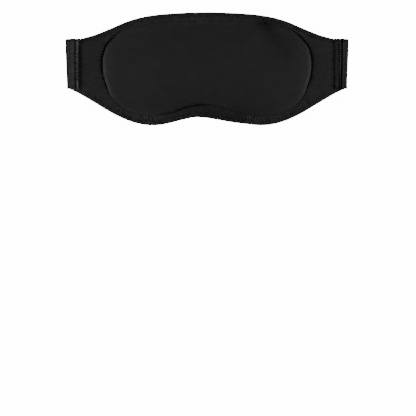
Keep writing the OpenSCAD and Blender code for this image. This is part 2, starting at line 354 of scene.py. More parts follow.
def top_height(P):
    """Height of the front fabric at points P (mm)."""
    P = np.asarray(P, float)
    d, i = nearest(P, SEAM)
    e, j = nearest(P, EDGE)
    side = ((P - SEAM[i]) * SEAM_N[i]).sum(1)
    outside = side > 0
    K = strength(P)
    s = SEAM_S[i]
    ge = gathers(EDGE_S[j], 5)
    gs = gathers(s, 2)
    x, y = P[:, 0], P[:, 1]
    # --- rim and wings
    groove = 0.11 + 1.41 * K
    width = 0.70 + 0.5 * K
    flat = TOP - groove * np.exp(-(d / width) ** 2)
    wing = smooth01((np.abs(x) - 92) / 8) * smooth01((118 - np.abs(x)) / 8)
    flat = flat + 0.35 * wing * smooth01(e / 10) + 0.16 * noise(x, y, 9.0, 1) * smooth01(d / 3) * smooth01(e / 3)
    cheeks = smooth01((-22 - y) / 10.0)
    cheeks *= smooth01((np.abs(x + 2) - 26) / 14.0)
    ends = smooth01((np.abs(x) - 60) / 14.0)
    flat += (0.34 + 0.24 * ends) * (gs - 0.45) * np.exp(-(np.maximum(d - 1.6, 0) / (1.6 + 1.0 * ends)) ** 2) * smooth01(d / 1.2) * (1 - cheeks)
    gb = bars(EDGE_S[j], 5)
    flat += (0.42 + 0.26 * cheeks) * (gb - 0.4) * np.maximum(np.exp(-((e - 2.4) / 2.4) ** 2), cheeks * smooth01(e / 2.0)) * smooth01(d / 1.0)
    # the narrow rim is crumpled a little between its two rows of stitches
    narrow = smooth01((96 - np.abs(x)) / 10.0)
    flat += narrow * (1 - 0.75 * cheeks) * (0.30 * noise(x, y, 4.6, 61) + 0.13 * noise(x, y, 2.4, 62)) * smooth01(e / 2.5) * smooth01(d / 1.5)
    # a faint line of stitches on the wing beside the strap end
    line = np.exp(-((np.abs(x) - 109.9) / 0.6) ** 2) - 0.8 * np.exp(-((np.abs(x) - 108.7) / 0.6) ** 2)
    flat += 0.2 * line * (0.75 + 0.25 * np.cos(2 * np.pi * y / 2.6)) * smooth01(e / 3)
    # soft drag lines from the sewn strap ends
    pull = np.exp(-((np.abs(x) - 110) / 5.0) ** 2)
    flat += 0.22 * pull * np.cos(2 * np.pi * (y - 4) / 7.3 + 1.3 * noise(x, y, 11, 8)) * smooth01(e / 4)
    pinch = 1 - 0.34 * np.exp(-(e / 2.4) ** 2)
    r = 1.5
    edge = np.sqrt(np.clip(1 - (1 - np.clip(e / r, 0, 1)) ** 2, 0, 1))
    # the unpadded web over the nose sags and falls away to its edge
    web = np.exp(-((x + 2) / 27.0) ** 2) * smooth01((-27 - y) / 5.0)
    flat -= web * (0.25 + 0.9 * smooth01((9.0 - e) / 9.0))
    flat += web * 0.24 * np.cos(2 * np.pi * (e / 2.3 + 0.6 * noise(x, y, 13.0, 63))) * smooth01((e - 2.0) / 2.0) * smooth01(d / 1.5)
    rim = MID + (flat - MID) * pinch * (0.02 + 0.98 * edge)
    # --- pad
    E = 0.9 + 2.4 * K                  # what the edge itself rises
    D = 6.5 - 2.0 * K
    crown = (RISE - E) * crown_share(x, y, d)
    ramp = groove * (1 - np.exp(-d / 0.55)) + E * (1 - np.exp(-d / D))
    dome = TOP - groove + ramp + crown
    dome += 0.18 * (gs - 0.4) * np.exp(-((d - 1.6) / 1.9) ** 2) * (1 - 0.75 * K)
    dome += 0.22 * noise(x, y, 26.0, 4) * smooth01(d / 8) + 0.07 * noise(x, y, 9.0, 6) * smooth01(d / 5)
    # where the pad has been pressed: a slack valley down from the brow, and a dip at the other cheek
    ax, ay, bx, by = 49.0, 43.0, 66.0, 15.0
    L2 = (bx - ax) ** 2 + (by - ay) ** 2
    t = np.clip(((x - ax) * (bx - ax) + (y - ay) * (by - ay)) / L2, 0, 1)
    off = np.hypot(x - ax - t * (bx - ax), y - ay - t * (by - ay))
    valley = (2.0 - 1.3 * t) * np.exp(-(off / (4.6 + 4.0 * t)) ** 2)
    pucker = 0.9 * np.exp(-((x - 50) / 3.8) ** 2 - ((y - 40.8) / 2.4) ** 2) + 0.45 * np.exp(-((x - 57) / 2.2) ** 2 - ((y - 38.4) / 2.2) ** 2)
    dip = 0.8 * np.exp(-((x - 29) / 15.0) ** 2 - ((y + 40) / 8.0) ** 2)
    press = (valley + dip) * smooth01(e / 3)
    rim = rim - 0.6 * press - 0.7 * pucker * smooth01(e / 3)
    dome = dome - press * smooth01(d / 5.0) - 0.55 * pucker * smooth01(d / 1.5)
    return np.where(outside, rim, dome), d, e, K, outside


def painted_shade_of(P):
    """Painted shade and painted highlight for the cloth's colour, 1 for plain cloth: painted shade in the pressed
    dents, the seam's crease and under folds, painted highlight on rolls and fold crests, darker where the nose web
    sags, and random mottling.
    """
    P = np.asarray(P, float)[:, :2]
    x, y = P[:, 0], P[:, 1]
    d, i = nearest(P, SEAM)
    K = np.clip(strength(P), 0, 1.4)
    e, j = nearest(P, EDGE)
    # painted shade on the pucker below the brow seam and down the pressed valley from it
    t = np.clip(((x - 49) * 17 + (y - 43) * -28) / (17 ** 2 + 28 ** 2), 0, 1)
    off = np.hypot(x - 49 - t * 17, y - 43 + t * 28)
    out = 0.72 * np.exp(-((x - 50.0) / 6.8) ** 2 - ((y - 40.0) / 4.2) ** 2) + 0.36 * (1 - 0.4 * t) * np.exp(-(off / (5.8 + 4.5 * t)) ** 2)
    # painted shade over the dip at the lower right cheek
    out += 0.34 * np.exp(-((x - 28) / 18.0) ** 2 - ((y + 42) / 8.5) ** 2) + 0.36 * np.exp(-((x - 32) / 10.5) ** 2 - ((y + 46) / 4.2) ** 2)
    # darker over the nose web
    out += 0.10 * np.exp(-((x + 2) / 27.0) ** 2) * smooth01((-30 - y) / 4.0)
    # painted shade in the seam's crease
    out += 0.26 * K * np.exp(-(d / 0.9) ** 2)
    # painted shade at the step beside the strap end, and painted light on the wing next to it, lifting the shadow the
    # strap's ridge casts
    out += 0.18 * np.exp(-((np.abs(x) - 111.9) / 0.8) ** 2) - np.where(x < 0, 0.26, 0.08) * np.exp(-((np.abs(x) - 108.6) / 2.4) ** 2)
    cheeks = smooth01((-22 - y) / 10.0) * smooth01((np.abs(x + 2) - 26) / 14.0)
    near = smooth01((100 - np.abs(x)) / 8.0)
    brow = smooth01((y - 36) / 6.0)
    mottle = (0.12 + 0.06 * brow) * noise(x, y, 5.2, 71) + (0.06 + 0.05 * brow) * noise(x, y, 2.6, 72)
    out += mottle * (1 - cheeks) * smooth01((12.0 - e) / 4.0) * near
    outside = ((P - SEAM[i]) * SEAM_N[i]).sum(1) > 0
    # painted shade in the hollows under the overlock bars and painted highlight on the folds between them
    g = 0.5 - bars(EDGE_S[j], 5)
    out += 0.62 * g * outside * near * np.maximum(cheeks, 0.42 * smooth01((x + 10) / 30.0)) * smooth01(e / 1.5) * smooth01((d + 0.3) / 1.0)
    # painted light and shade on the small pulls where the seam's bars bite, and a painted highlight on the roll just
    # inside it at the lower corners
    gs = gathers(SEAM_S[i], 2)
    ends = smooth01((np.abs(x) - 62) / 14.0)
    out -= np.where(outside, 0.6, 0.2) * (gs - 0.42) * ends * np.exp(-(np.maximum(d - 1.6, 0) / 1.8) ** 2) * smooth01(d / 1.0)
    # painted light: lighter patches at the seam near the pad's upper ends and at its lower left, and on the pad's
    # upper left end
    out -= 0.22 * np.exp(-((x + 64) / 9.0) ** 2 - ((y - 35.5) / 3.6) ** 2) + 0.20 * np.exp(-((x - 69) / 7.0) ** 2 - ((y - 35.5) / 3.2) ** 2)
    out -= 0.24 * np.exp(-((x + 53) / 11.0) ** 2 - ((y + 40) / 3.0) ** 2) + 0.10 * np.exp(-((x + 72) / 9.0) ** 2 - ((y - 28) / 9.0) ** 2)
    low = smooth01((-6 - y) / 10.0) * smooth01((np.abs(x) - 58) / 12.0)
    out -= (0.26 + 0.3 * (gs - 0.4)) * low * ~outside * np.exp(-((d - 2.2) / 1.6) ** 2)
    return np.clip(1 - out, 0.2, 1.5)


def back_height(P):
    """Height of the face-side fabric."""
    P = np.asarray(P, float)
    d, i = nearest(P, SEAM)
    e, j = nearest(P, EDGE)
    x, y = P[:, 0], P[:, 1]
    gs = gathers(SEAM_S[i], 12)
    ge = gathers(EDGE_S[j], 15)
    z = BACK + 0.12 + 0.85 * np.exp(-(d / 1.1) ** 2)
    z += 0.10 * (noise(x, y, 12.0, 21)) * smooth01(d / 3) * smooth01(e / 3)
    z -= 0.14 * (gs - 0.5) * np.exp(-((d - 1.9) / 1.6) ** 2)
    z -= 0.18 * (ge - 0.5) * np.exp(-((e - 2.2) / 2.0) ** 2)
    pinch = 1 - 0.30 * np.exp(-(e / 2.4) ** 2)
    edge = np.sqrt(np.clip(1 - (1 - np.clip(e / 1.15, 0, 1)) ** 2, 0, 1))
    return MID + (z - MID) * pinch * (0.02 + 0.98 * edge)


def thicken(name, V, F, t, border_loops, shade=None, cuts=()):
    """A closed skin: the surface V with a second one t below it along its normals. The edges of the walls at cuts are
    sharp, so that the surface's shading runs on across them to the other half."""
    V = np.asarray(V, float)
    tri = []
    for f in F:
        tri.append((f[0], f[1], f[2]))
        if len(f) == 4:
            tri.append((f[0], f[2], f[3]))
    T = np.array(tri)
    fn = np.cross(V[T[:, 1]] - V[T[:, 0]], V[T[:, 2]] - V[T[:, 0]])
    N = np.zeros_like(V)
    for k in range(3):
        np.add.at(N, T[:, k], fn)
    mid = np.abs(V[:, 0]) < 1e-6
    N[mid, 0] = 0 if cuts else N[mid, 0]
    N /= np.maximum(np.linalg.norm(N, axis=1), 1e-12)[:, None]
    n = len(V)
    inner = V - N * t
    W = np.vstack([V, inner])
    G = list(F) + [tuple(n + i for i in reversed(f)) for f in F]
    R = np.vstack([V, V])
    tone = None if shade is None else np.concatenate([shade, shade])
    hard = []
    for k, loop in enumerate(border_loops):
        G += [(a, n + a, n + b, b) for a, b in zip(loop[:-1], loop[1:])]
        if k in cuts:
            hard += [list(loop), [n + a for a in loop]]
    return make(name, W, G, uv=R, shade=tone, hard=hard)


# ------------------------------------------------------------------ pad cover
def build_pad():
    ring, _ = resample(pad_line[:-1], 0.45, closed=True)
    n = len(ring)
    ring_k = SEAM_K[nearest(ring, SEAM)[1]]
    d = np.concatenate([np.linspace(0, 1.2, 9), 1.2 + np.cumsum(np.linspace(0.22, 1.4, 26))])
    rows = []
    c = np.array([CX, CY])
    R = np.linalg.norm(ring - c, axis=1)
    # ring radii: near the seam they step along it by distance, further in by share
    dmax = d[-1]
    for dd in d:
        rows.append(c + (ring - c) * (1 - dd / R)[:, None])
    last = rows[-1]
    for f in (0.86, 0.72, 0.58, 0.44, 0.3, 0.17, 0.07):
        rows.append(c + (last - c) * f)
    P = np.vstack(rows)
    z, dist, e, K, outside = top_height(P)
    first = np.arange(n)
    z[first] = TOP - (0.14 + 1.38 * ring_k)
    # the roll leans out over the seam where the pad stands up steeply
    dn, i_n = nearest(P, SEAM)
    lean = 0.6 * np.clip(K, 0, 1.4) * (dn / 1.1) * np.exp(1 - dn / 1.1)
    P = P + SEAM_N[i_n] * lean[:, None]
    V = np.column_stack([P, z])
    zc, *_ = top_height(c[None])
    V = np.vstack([V, [[c[0], c[1], zc[0]]]])
    m = len(rows)
    F = grid_faces(m, n, wrap=True, flip=False)
    F += [((m - 1) * n + i, (m - 1) * n + (i + 1) % n, m * n) for i in range(n)]
    return V, F, n


padV, padF, pad_n = build_pad()


def up(V, F):
    """The faces turned so that the surface looks upwards."""
    a, b, c = (np.array(V[F[0][k]]) for k in range(3))
    s = 0.0
    for f in F[:: max(1, len(F) // 200)]:
        a, b, c = (np.array(V[f[k]]) for k in range(3))
        s += np.cross(b - a, c - a)[2]
    return F if s > 0 else [tuple(reversed(f)) for f in F]


padF = up(padV, padF)
loop = list(range(pad_n)) + [0]
pad_cover = thicken("eye_pad_cover", padV, padF, 0.5, [loop], shade=painted_shade_of(padV))
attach(pad_cover, "mask")
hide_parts("front_cover")


# ------------------------------------------------------------------ rim and wing fabric, one piece each side
def ray_hit(poly, o, dirs):
    """Furthest hit of each ray from o on an open polyline."""
    A, B = poly[:-1], poly[1:]
    out = np.zeros((len(dirs), 2))
    for k, u in enumerate(dirs):
        d = B - A
        den = u[0] * d[:, 1] - u[1] * d[:, 0]
        den = np.where(np.abs(den) < 1e-12, 1e-12, den)
        p = A - o
        t = (p[:, 0] * d[:, 1] - p[:, 1] * d[:, 0]) / den
        s = (p[:, 0] * u[1] - p[:, 1] * u[0]) / den
        ok = (s >= -1e-6) & (s <= 1 + 1e-6) & (t > 0)
        out[k] = o + u * t[ok].max()
    return out


def half_lines(side):
    """Matching points on the seam and on the outline of one half, from the brow's middle to the nose."""
    h = 62.0
    o = np.array([h, 0.5])
    bl, cl = half(brow_line, "right"), half(cheek_line, side)
    pl = pad_line * (np.array([1.0, 1.0]) if side == "right" else np.array([-1.0, 1.0]))
    pl = pl[pl[:, 0] >= -1e-9]
    if side == "left":
        pl = pl[::-1]
    out = np.vstack([bl, cl])
    far = pl[:, 0].argmax()
    ax = np.arange(0, h, 0.36)
    up_in = np.column_stack([ax, np.interp(ax, pl[:far, 0], pl[:far, 1])])
    up_out = np.column_stack([ax, np.interp(ax, bl[:, 0], bl[:, 1])])
    lower = pl[far:][::-1]
    dn_in = np.column_stack([ax, np.interp(ax, lower[:, 0], lower[:, 1])])[::-1]
    dn_out = np.column_stack([ax, np.interp(ax, cl[::-1, 0], cl[::-1, 1])])[::-1]
    # fan round the pad's end, evenly spaced on the outline
    ang = np.radians(np.linspace(90, -90, 1200))
    hit = ray_hit(out, o, np.column_stack([np.cos(ang), np.sin(ang)]))
    L = np.concatenate([[0], np.cumsum(np.linalg.norm(np.diff(hit, axis=0), axis=1))])
    n = int(L[-1] / 0.34)
    a2 = np.interp(np.linspace(0, L[-1], n), L, ang)
    # a point exactly on each corner of the wing's end
    for c in ((118, 25.4), (118, -19.5)):
        ca = math.atan2(c[1] - o[1], c[0] - o[0])
        a2[np.abs(a2 - ca).argmin()] = ca
    dirs = np.column_stack([np.cos(a2), np.sin(a2)])
    fan_out = ray_hit(out, o, dirs)
    fan_in = ray_hit(pl, o, dirs)
    inner = np.vstack([up_in, fan_in, dn_in])
    outer = np.vstack([up_out, fan_out, dn_out])
    return inner, outer


def build_rim(side):
    inner, outer = half_lines(side)
    n = len(inner)
    span = np.linalg.norm(outer - inner, axis=1)
    # stations across: close together at the seam and at the edge
    near = np.array([0, 0.12, 0.26, 0.42, 0.62, 0.88, 1.2])
    far = np.array([1.1, 0.8, 0.52, 0.3, 0.14, 0.05, 0.0])
    rows = []
    for dd in near:
        rows.append(inner + (outer - inner) * (np.minimum(dd, 0.3 * span) / span)[:, None])
    a = 1.2 / span
    b = 1 - 1.1 / span
    for f in np.linspace(0, 1, 26)[1:-1]:
        rows.append(inner + (outer - inner) * (a + (b - a) * f)[:, None])
    for dd in far:
        rows.append(inner + (outer - inner) * (1 - dd / span)[:, None])
    P = np.vstack(rows) * (np.array([1.0, 1.0]) if side == "right" else np.array([-1.0, 1.0]))
    z, d, e, K, outside = top_height(P)
    # the first row is the seam itself, the last the outline at mid height
    d0, i0 = nearest(P[:n], SEAM)
    z[:n] = TOP - (0.14 + 1.38 * SEAM_K[i0])
    z[-n:] = MID
    return P, z, n, len(rows)


mirror = np.array([-1.0, 1.0])
BLEND = {"left": ((-0.092, 0, 0), (-0.104, 0, 0)), "right": ((0.092, 0, 0), (0.104, 0, 0))}
fabric = {}
for side in ("left", "right"):
    P, z, rim_n, rim_m = build_rim(side)
    V = np.column_stack([P, z])
    F = up(V, grid_faces(rim_m, rim_n))
    first, last = list(range(rim_n)), [(rim_m - 1) * rim_n + i for i in range(rim_n)]
    ends0, ends1 = [r * rim_n for r in range(rim_m)], [r * rim_n + rim_n - 1 for r in range(rim_m)]
    ob = thicken(f"{side}_front_fabric", V, F, 0.5, [first, last, ends0, ends1], shade=painted_shade_of(V), cuts=(2, 3))
    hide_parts(f"{side}_wing_cover")
    fabric[side] = ob


# ------------------------------------------------------------------ face-side lining, one piece each side
def build_back(side):
    bl, cl = half(brow_line, "right"), half(cheek_line, side)[::-1]
    xs = np.concatenate([np.arange(0, 116.4, 0.55), [116.9, 117.25, 117.5, 117.7, 117.85, 117.95, 118.0]])
    yt = np.interp(xs, bl[:, 0], bl[:, 1])
    yb = np.interp(xs, cl[:, 0], cl[:, 1])
    m = 150
    t = np.linspace(0, 1, m - 12)[1:-1]
    rows = []
    H = (yt - yb)
    stops = [0, 0.05, 0.14, 0.3, 0.52, 0.8, 1.1]
    for dd in stops:
        rows.append(yb + dd)
    for f in t:
        rows.append(yb + 1.1 + (H - 2.2) * f)
    for dd in reversed(stops):
        rows.append(yt - dd)
    P = np.vstack([np.column_stack([xs, r]) for r in rows]) * (np.array([1.0, 1.0]) if side == "right" else np.array([-1.0, 1.0]))
    z = back_height(P)
    n, mm = len(xs), len(rows)
    z[:n] = MID
    z[-n:] = MID
    z[n - 1::n] = MID
    return P, z, n, mm


for side in ("left", "right"):
    P, bZ, bn, bm = build_back(side)
    V = np.column_stack([P, bZ])
    F = up(V, grid_faces(bm, bn))
    F = [tuple(reversed(f)) for f in F]       # the face side looks down
    first, last = list(range(bn)), [(bm - 1) * bn + i for i in range(bn)]
    ends0, ends1 = [r * bn for r in range(bm)], [r * bn + bn - 1 for r in range(bm)]
    ob = thicken(f"{side}_face_lining", V, F, 0.45, [first, last, ends0, ends1], cuts=(2,))
    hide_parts(*(["back_lining", "left_wing_lining"] if side == "left" else ["right_wing_lining"]))
    fabric[side + "_back"] = ob


# ------------------------------------------------------------------ foam under the cover
def slab(name, P, zt, zb, F, loops):
    """A closed body between two height fields on the same points."""
    n = len(P)
    V = np.vstack([np.column_stack([P, zt]), np.column_stack([P, zb])])
    F = up(V[:n], F)
    G = list(F) + [tuple(n + i for i in reversed(f)) for f in F]
    used = {}
    for f in F:
        for a, b in zip(f, f[1:] + f[:1]):
            used[(a, b)] = used.get((a, b), 0) + 1
    for (a, b) in list(used):
        if (b, a) not in used:
            G.append((b, a, n + a, n + b))
    return make(name, V, G)


def build_foam():
    c = np.array([CX, CY])
    ring = SEAM[::3]
    n = len(ring)
    rows = []
    for q in (0.0, 0.5, 1.2, 2.2, 3.6, 5.4, 8.0, 11.5, 16.0):
        R = np.linalg.norm(ring - c, axis=1)
        rows.append(c + (ring - c) * (1 - (1.3 + q) / R)[:, None])
    last = rows[-1]
    for f in (0.8, 0.6, 0.42, 0.26, 0.12):
        rows.append(c + (last - c) * f)
    P = np.vstack(rows + [c[None]])
    z, d, e, K, outside = top_height(P)
    zt = z - 0.7
    zb = np.minimum(8.2, zt - 0.2)
    m = len(rows)
    F = grid_faces(m, n, wrap=True) + [((m - 1) * n + i, (m - 1) * n + (i + 1) % n, m * n) for i in range(n)]
    return slab("pad_foam", P, zt, zb, F, None)


pad_foam = build_foam()
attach(pad_foam, "mask")
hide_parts("eye_pad_foam")


def build_base():
    bl, cl = brow_line, cheek_line[::-1]
    xs = np.arange(-97.5, 97.51, 1.0)
    yt = np.interp(xs, bl[:, 0], bl[:, 1]) - 2.2
    yb = np.interp(xs, cl[:, 0], cl[:, 1]) + 2.2
    m = 84
    P = np.vstack([np.column_stack([xs, yb + (yt - yb) * f]) for f in np.linspace(0, 1, m)])
    d, i = nearest(P, SEAM)
    zt = 8.0 - (0.3 + 1.7 * SEAM_K[i]) * np.exp(-(d / 2.2) ** 2)
    zt = np.minimum(zt, top_height(P)[0] - 0.75)
    zt = np.maximum(zt, 6.56)
    zb = np.full(len(P), 6.5)
    return slab("base_foam_layer", P, zt, zb, grid_faces(m, len(xs)), None)


base_layer = build_base()
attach(base_layer, "mask")
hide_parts("base_foam")


# ------------------------------------------------------------------ threads
def tubes(paths, radius, sides=6, taper=True):
    """Many round threads in one mesh. paths: arrays of points in mm."""
    V, F = [], []
    base = 0
    ang = np.linspace(0, 2 * np.pi, sides, endpoint=False)
    for P in paths:
        P = np.asarray(P, float)
        T = np.gradient(P, axis=0)
        T /= np.maximum(np.linalg.norm(T, axis=1), 1e-9)[:, None]
        ref = np.array([0.0, 0.0, 1.0])
        B = np.cross(T, ref)
        bad = np.linalg.norm(B, axis=1) < 0.2
        B[bad] = np.cross(T[bad], np.array([T[0][1], -T[0][0], 0.0]) + 1e-6)
        B /= np.maximum(np.linalg.norm(B, axis=1), 1e-9)[:, None]
        for k in range(1, len(B)):
            if (B[k] * B[k - 1]).sum() < 0:
                B[k] = -B[k]
        N = np.cross(B, T)
        r = np.full(len(P), radius)
        if taper:
            r[0] *= 0.5
            r[-1] *= 0.5
        ring = P[:, None, :] + (B[:, None, :] * np.cos(ang)[None, :, None] + N[:, None, :] * np.sin(ang)[None, :, None]) * r[:, None, None]
        V.append(ring.reshape(-1, 3))
        F += grid_faces(len(P), sides, wrap=True, base=base)
        F.append(tuple(base + k for k in range(sides)))
        F.append(tuple(base + (len(P) - 1) * sides + k for k in reversed(range(sides))))
        base += len(P) * sides
    return np.vstack(V), F


def edge_bars():
    """Overlock bars that lie over the edge, front and back, for each side."""
    out = {"left": [], "right": []}
    total = EDGE_LEN
    n = round(total / EDGE_PITCH)
    for i in range(n):
        s = (i + 0.5) * total / n + 0.08 * rng.standard_normal()
        k = int(round(s / 0.3)) % len(EDGE)
        p, nn = EDGE[k], EDGE_N[k]
        if abs(p[0]) > 111.2:
            continue
        t = np.array([-nn[1], nn[0]])
        out["left" if p[0] < 0 else "right"].append((p, nn, t, 0.10 + 0.06 * rng.standard_normal(), 1 + 0.08 * rng.standard_normal()))
    res = {}
    for side, bars in out.items():
        L = np.array([3.9, 3.1, 2.2, 1.3, 0.7])
        Lb = np.array([0.7, 1.4, 2.3, 3.2])
        pts = []
        for p, nn, t, slant, sc in bars:
            for q in L:
                pts.append(p - nn * q * sc + t * slant * (q - 0.5))
        zt = top_height(np.array(pts))[0].reshape(len(bars), len(L)) + 0.10
        ptsb = []
        for p, nn, t, slant, sc in bars:
            for q in Lb:
                ptsb.append(p - nn * q * sc - t * slant * (q - 0.5))
        zb = back_height(np.array(ptsb)).reshape(len(bars), len(Lb)) - 0.10
        pts = np.array(pts).reshape(len(bars), len(L), 2)
        ptsb = np.array(ptsb).reshape(len(bars), len(Lb), 2)
        paths = []
        for b, (p, nn, t, slant, sc) in enumerate(bars):
            path = [[*pts[b, 0], zt[b, 0] - 0.22]]
            path += [[*pts[b, q], zt[b, q]] for q in range(len(L))]
            path += [[*(p - nn * 0.42), MID + 0.95], [*(p - nn * 0.27), MID + 0.45], [*(p - nn * 0.24), MID], [*(p - nn * 0.27), MID - 0.45], [*(p - nn * 0.42), MID - 0.9]]
            path += [[*ptsb[b, q], zb[b, q]] for q in range(len(Lb))]
            path.append([*ptsb[b, -1], zb[b, -1] + 0.2])
            paths.append(np.array(path))
        # the needle thread that runs along the bars' inner ends, on both faces
        for b in range(len(bars) - 1):
            for Q, zz, sgn in ((pts[:, 0], zt[:, 0] - 0.06, -1), (ptsb[:, -1], zb[:, -1] + 0.04, 1)):
                if np.linalg.norm(Q[b + 1] - Q[b]) > 4.5:
                    continue
                t = np.linspace(0.06, 0.94, 5)
                run = Q[b] + (Q[b + 1] - Q[b]) * t[:, None]
                hz = (top_height(run)[0] + 0.04) if sgn < 0 else back_height(run) - 0.04
                paths.append(np.column_stack([run, hz + sgn * 0.2 * np.abs(2 * t - 1) ** 4]))
        res[side] = paths
    return res


for side, paths in edge_bars().items():
    V, F = tubes(paths, 0.24)
    ob = make(f"{side}_edge_overlock_thread", V, F)
    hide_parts(*(["edge_overlock", "left_wing_overlock"] if side == "left" else ["right_wing_overlock"]))
    fabric[side + "_overlock"] = ob


def seam_stitches():
    """Short stitches that run round the eye pad in the bottom of its seam."""
    out = {"left": [], "right": []}
    n = int(SEAM_LEN / 2.4)
    q = np.linspace(-1, 1, 7)
    ends = []
    for i in range(n):
        s = (i + 0.5) * SEAM_LEN / n + 0.75 * q + 0.05 * rng.standard_normal()
        k = np.round(s / 0.3).astype(int) % len(SEAM)
        x = np.interp(s % SEAM_LEN, SEAM_S, SEAM[:, 0])
        y = np.interp(s % SEAM_LEN, SEAM_S, SEAM[:, 1])
        ends.append(np.column_stack([x, y]) + SEAM_N[k] * 0.30)
    z = top_height(np.vstack(ends))[0].reshape(n, len(q)) + 0.02 - 0.30 * np.abs(q) ** 5
    for i in range(n):
        out["left" if ends[i][3, 0] < 0 else "right"].append(np.column_stack([ends[i], z[i]]))
    return out


for side, paths in seam_stitches().items():
    V, F = tubes(paths, 0.17)
    ob = make(f"{side}_pad_seam_thread", V, F)
    if side == "left":
        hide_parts("pad_seam_thread")
    fabric[side + "_seam"] = ob


# ------------------------------------------------------------------ strap
W = 44.0
Y0 = 4.5 - W / 2
RIB = 1.1


def webbing(name, path, half, lateral=None, extra=None, caps=(True, True), warp=None, shade=None):
    """Elastic webbing: path is the centreline (x, z) in mm, half its half thickness along the path.
    extra(s, y, face) moves the surface along its normal."""
    path = np.asarray(path, float)
    n = len(path)
    half = np.broadcast_to(np.asarray(half, float), (n,))
    T = np.gradient(path, axis=0)
    T /= np.linalg.norm(T, axis=1)[:, None]
    N = np.stack([-T[:, 1], T[:, 0]], 1)
    s = np.concatenate([[0], np.cumsum(np.linalg.norm(np.diff(path, axis=0), axis=1))])
    ys = np.concatenate([[0, 0.12, 0.3, 0.55, 0.85], np.arange(1.1, W - 1.09, 0.275), [W - 0.85, W - 0.55, W - 0.3, W - 0.12, W]])
    m = len(ys)
    e = np.minimum(ys, W - ys)
    round_ = np.sqrt(np.clip(1 - (1 - np.clip(e / 0.7, 0, 1)) ** 2, 0, 1))
    rib = 0.06 * (np.abs(np.sin(np.pi * (ys - 1.1) / RIB)) - 0.6) * (e > 1.0)
    selv = 0.10 * np.exp(-((e - 1.0) / 0.5) ** 2)
    V = []
    for face in (1, -1):
        prof = round_[None, :] * half[:, None] + (rib + selv)[None, :] * np.minimum(half[:, None] / 0.7, 1)
        if extra is not None:
            prof = prof + extra(s[:, None], (ys + Y0)[None, :], face, path) * round_[None, :]
        w = face * prof
        X = path[:, 0][:, None] + N[:, 0][:, None] * w
        Z = path[:, 1][:, None] + N[:, 1][:, None] * w
        yy = np.broadcast_to((ys + Y0)[None, :], X.shape).copy()
        if lateral is not None:
            yy = yy + lateral(s[:, None], ys[None, :], path)
        V.append(np.stack([X, yy, Z], 2).reshape(-1, 3))
    V = np.vstack(V)
    b = n * m
    F = grid_faces(n, m) + grid_faces(n, m, flip=True, base=b)
    for r in range(n - 1):
        F.append((r * m, (r + 1) * m, b + (r + 1) * m, b + r * m))
        F.append((r * m + m - 1, b + r * m + m - 1, b + (r + 1) * m + m - 1, (r + 1) * m + m - 1))
    # the ends, closed; their edges are sharp, so that the surface's shading runs on to the cut
    hard = []
    for r, cap in ((0, caps[0]), (n - 1, caps[1])):
        if cap:
            top = list(range(r * m, (r + 1) * m))
            low = [b + k for k in top]
            hard += [top, low]
            for c in range(m - 1):
                f = (top[c], top[c + 1], low[c + 1], low[c])
                F.append(f if r == 0 else tuple(reversed(f)))
    # rest coordinates: along the path, across it
    SS = np.broadcast_to(s[:, None], (n, m)).reshape(-1)
    YY = np.broadcast_to(ys[None, :], (n, m)).reshape(-1)
    rest = np.vstack([np.column_stack([SS, YY, YY * 0]), np.column_stack([SS, YY, YY * 0 + 3])])
    # painted shade and painted highlight for the colour, 1 where there is none
    tone = np.ones(len(V)) if shade is None else shade(V)
    if warp is not None:
        V = warp(V)
    return make(name, V, F, uv=rest, shade=tone, hard=hard)


PROFILE = {
    "left": [(112.0, -0.8), (112.4, -1.1), (112.9, -1.1), (113.2, -0.6), (113.6, 0.4), (114.0, 1.1), (114.4, 1.1), (114.9, 0.4),
             (115.2, -0.2), (115.7, -0.55), (116.2, -0.3), (116.8, 0.05), (118.8, 0.2), (121.0, 0.35), (123.0, 0.0)],
    "right": [(112.0, -0.8), (112.5, -1.15), (113.0, -1.1), (113.6, -0.5), (114.2, -0.1), (115.0, 0.0), (115.5, -0.1), (116.0, -0.5),
              (116.5, -0.75), (117.0, -0.5), (117.6, -0.05), (118.3, -0.6), (119.0, -1.25), (119.6, -0.9), (120.3, 0.1), (121.6, 0.45),
              (122.9, 0.4), (124.0, 0.0)],
}
# rows of stitches: where, pitch, how deep they pull, phase, half width across, half length along as a share of the pitch
DOTS = {"left": [(112.8, 2.7, 0.35, 0.0, 0.9, 0.13), (115.7, 2.8, 0.6, 0.0, 0.0, 0.08)],
        "right": [(112.9, 2.0, 0.25, 0.0, 0.9, 0.19), (116.5, 2.2, 0.5, 0.4, 0.0, 0.10), (119.0, 2.3, 0.15, 0.0, 0.0, 0.44)]}


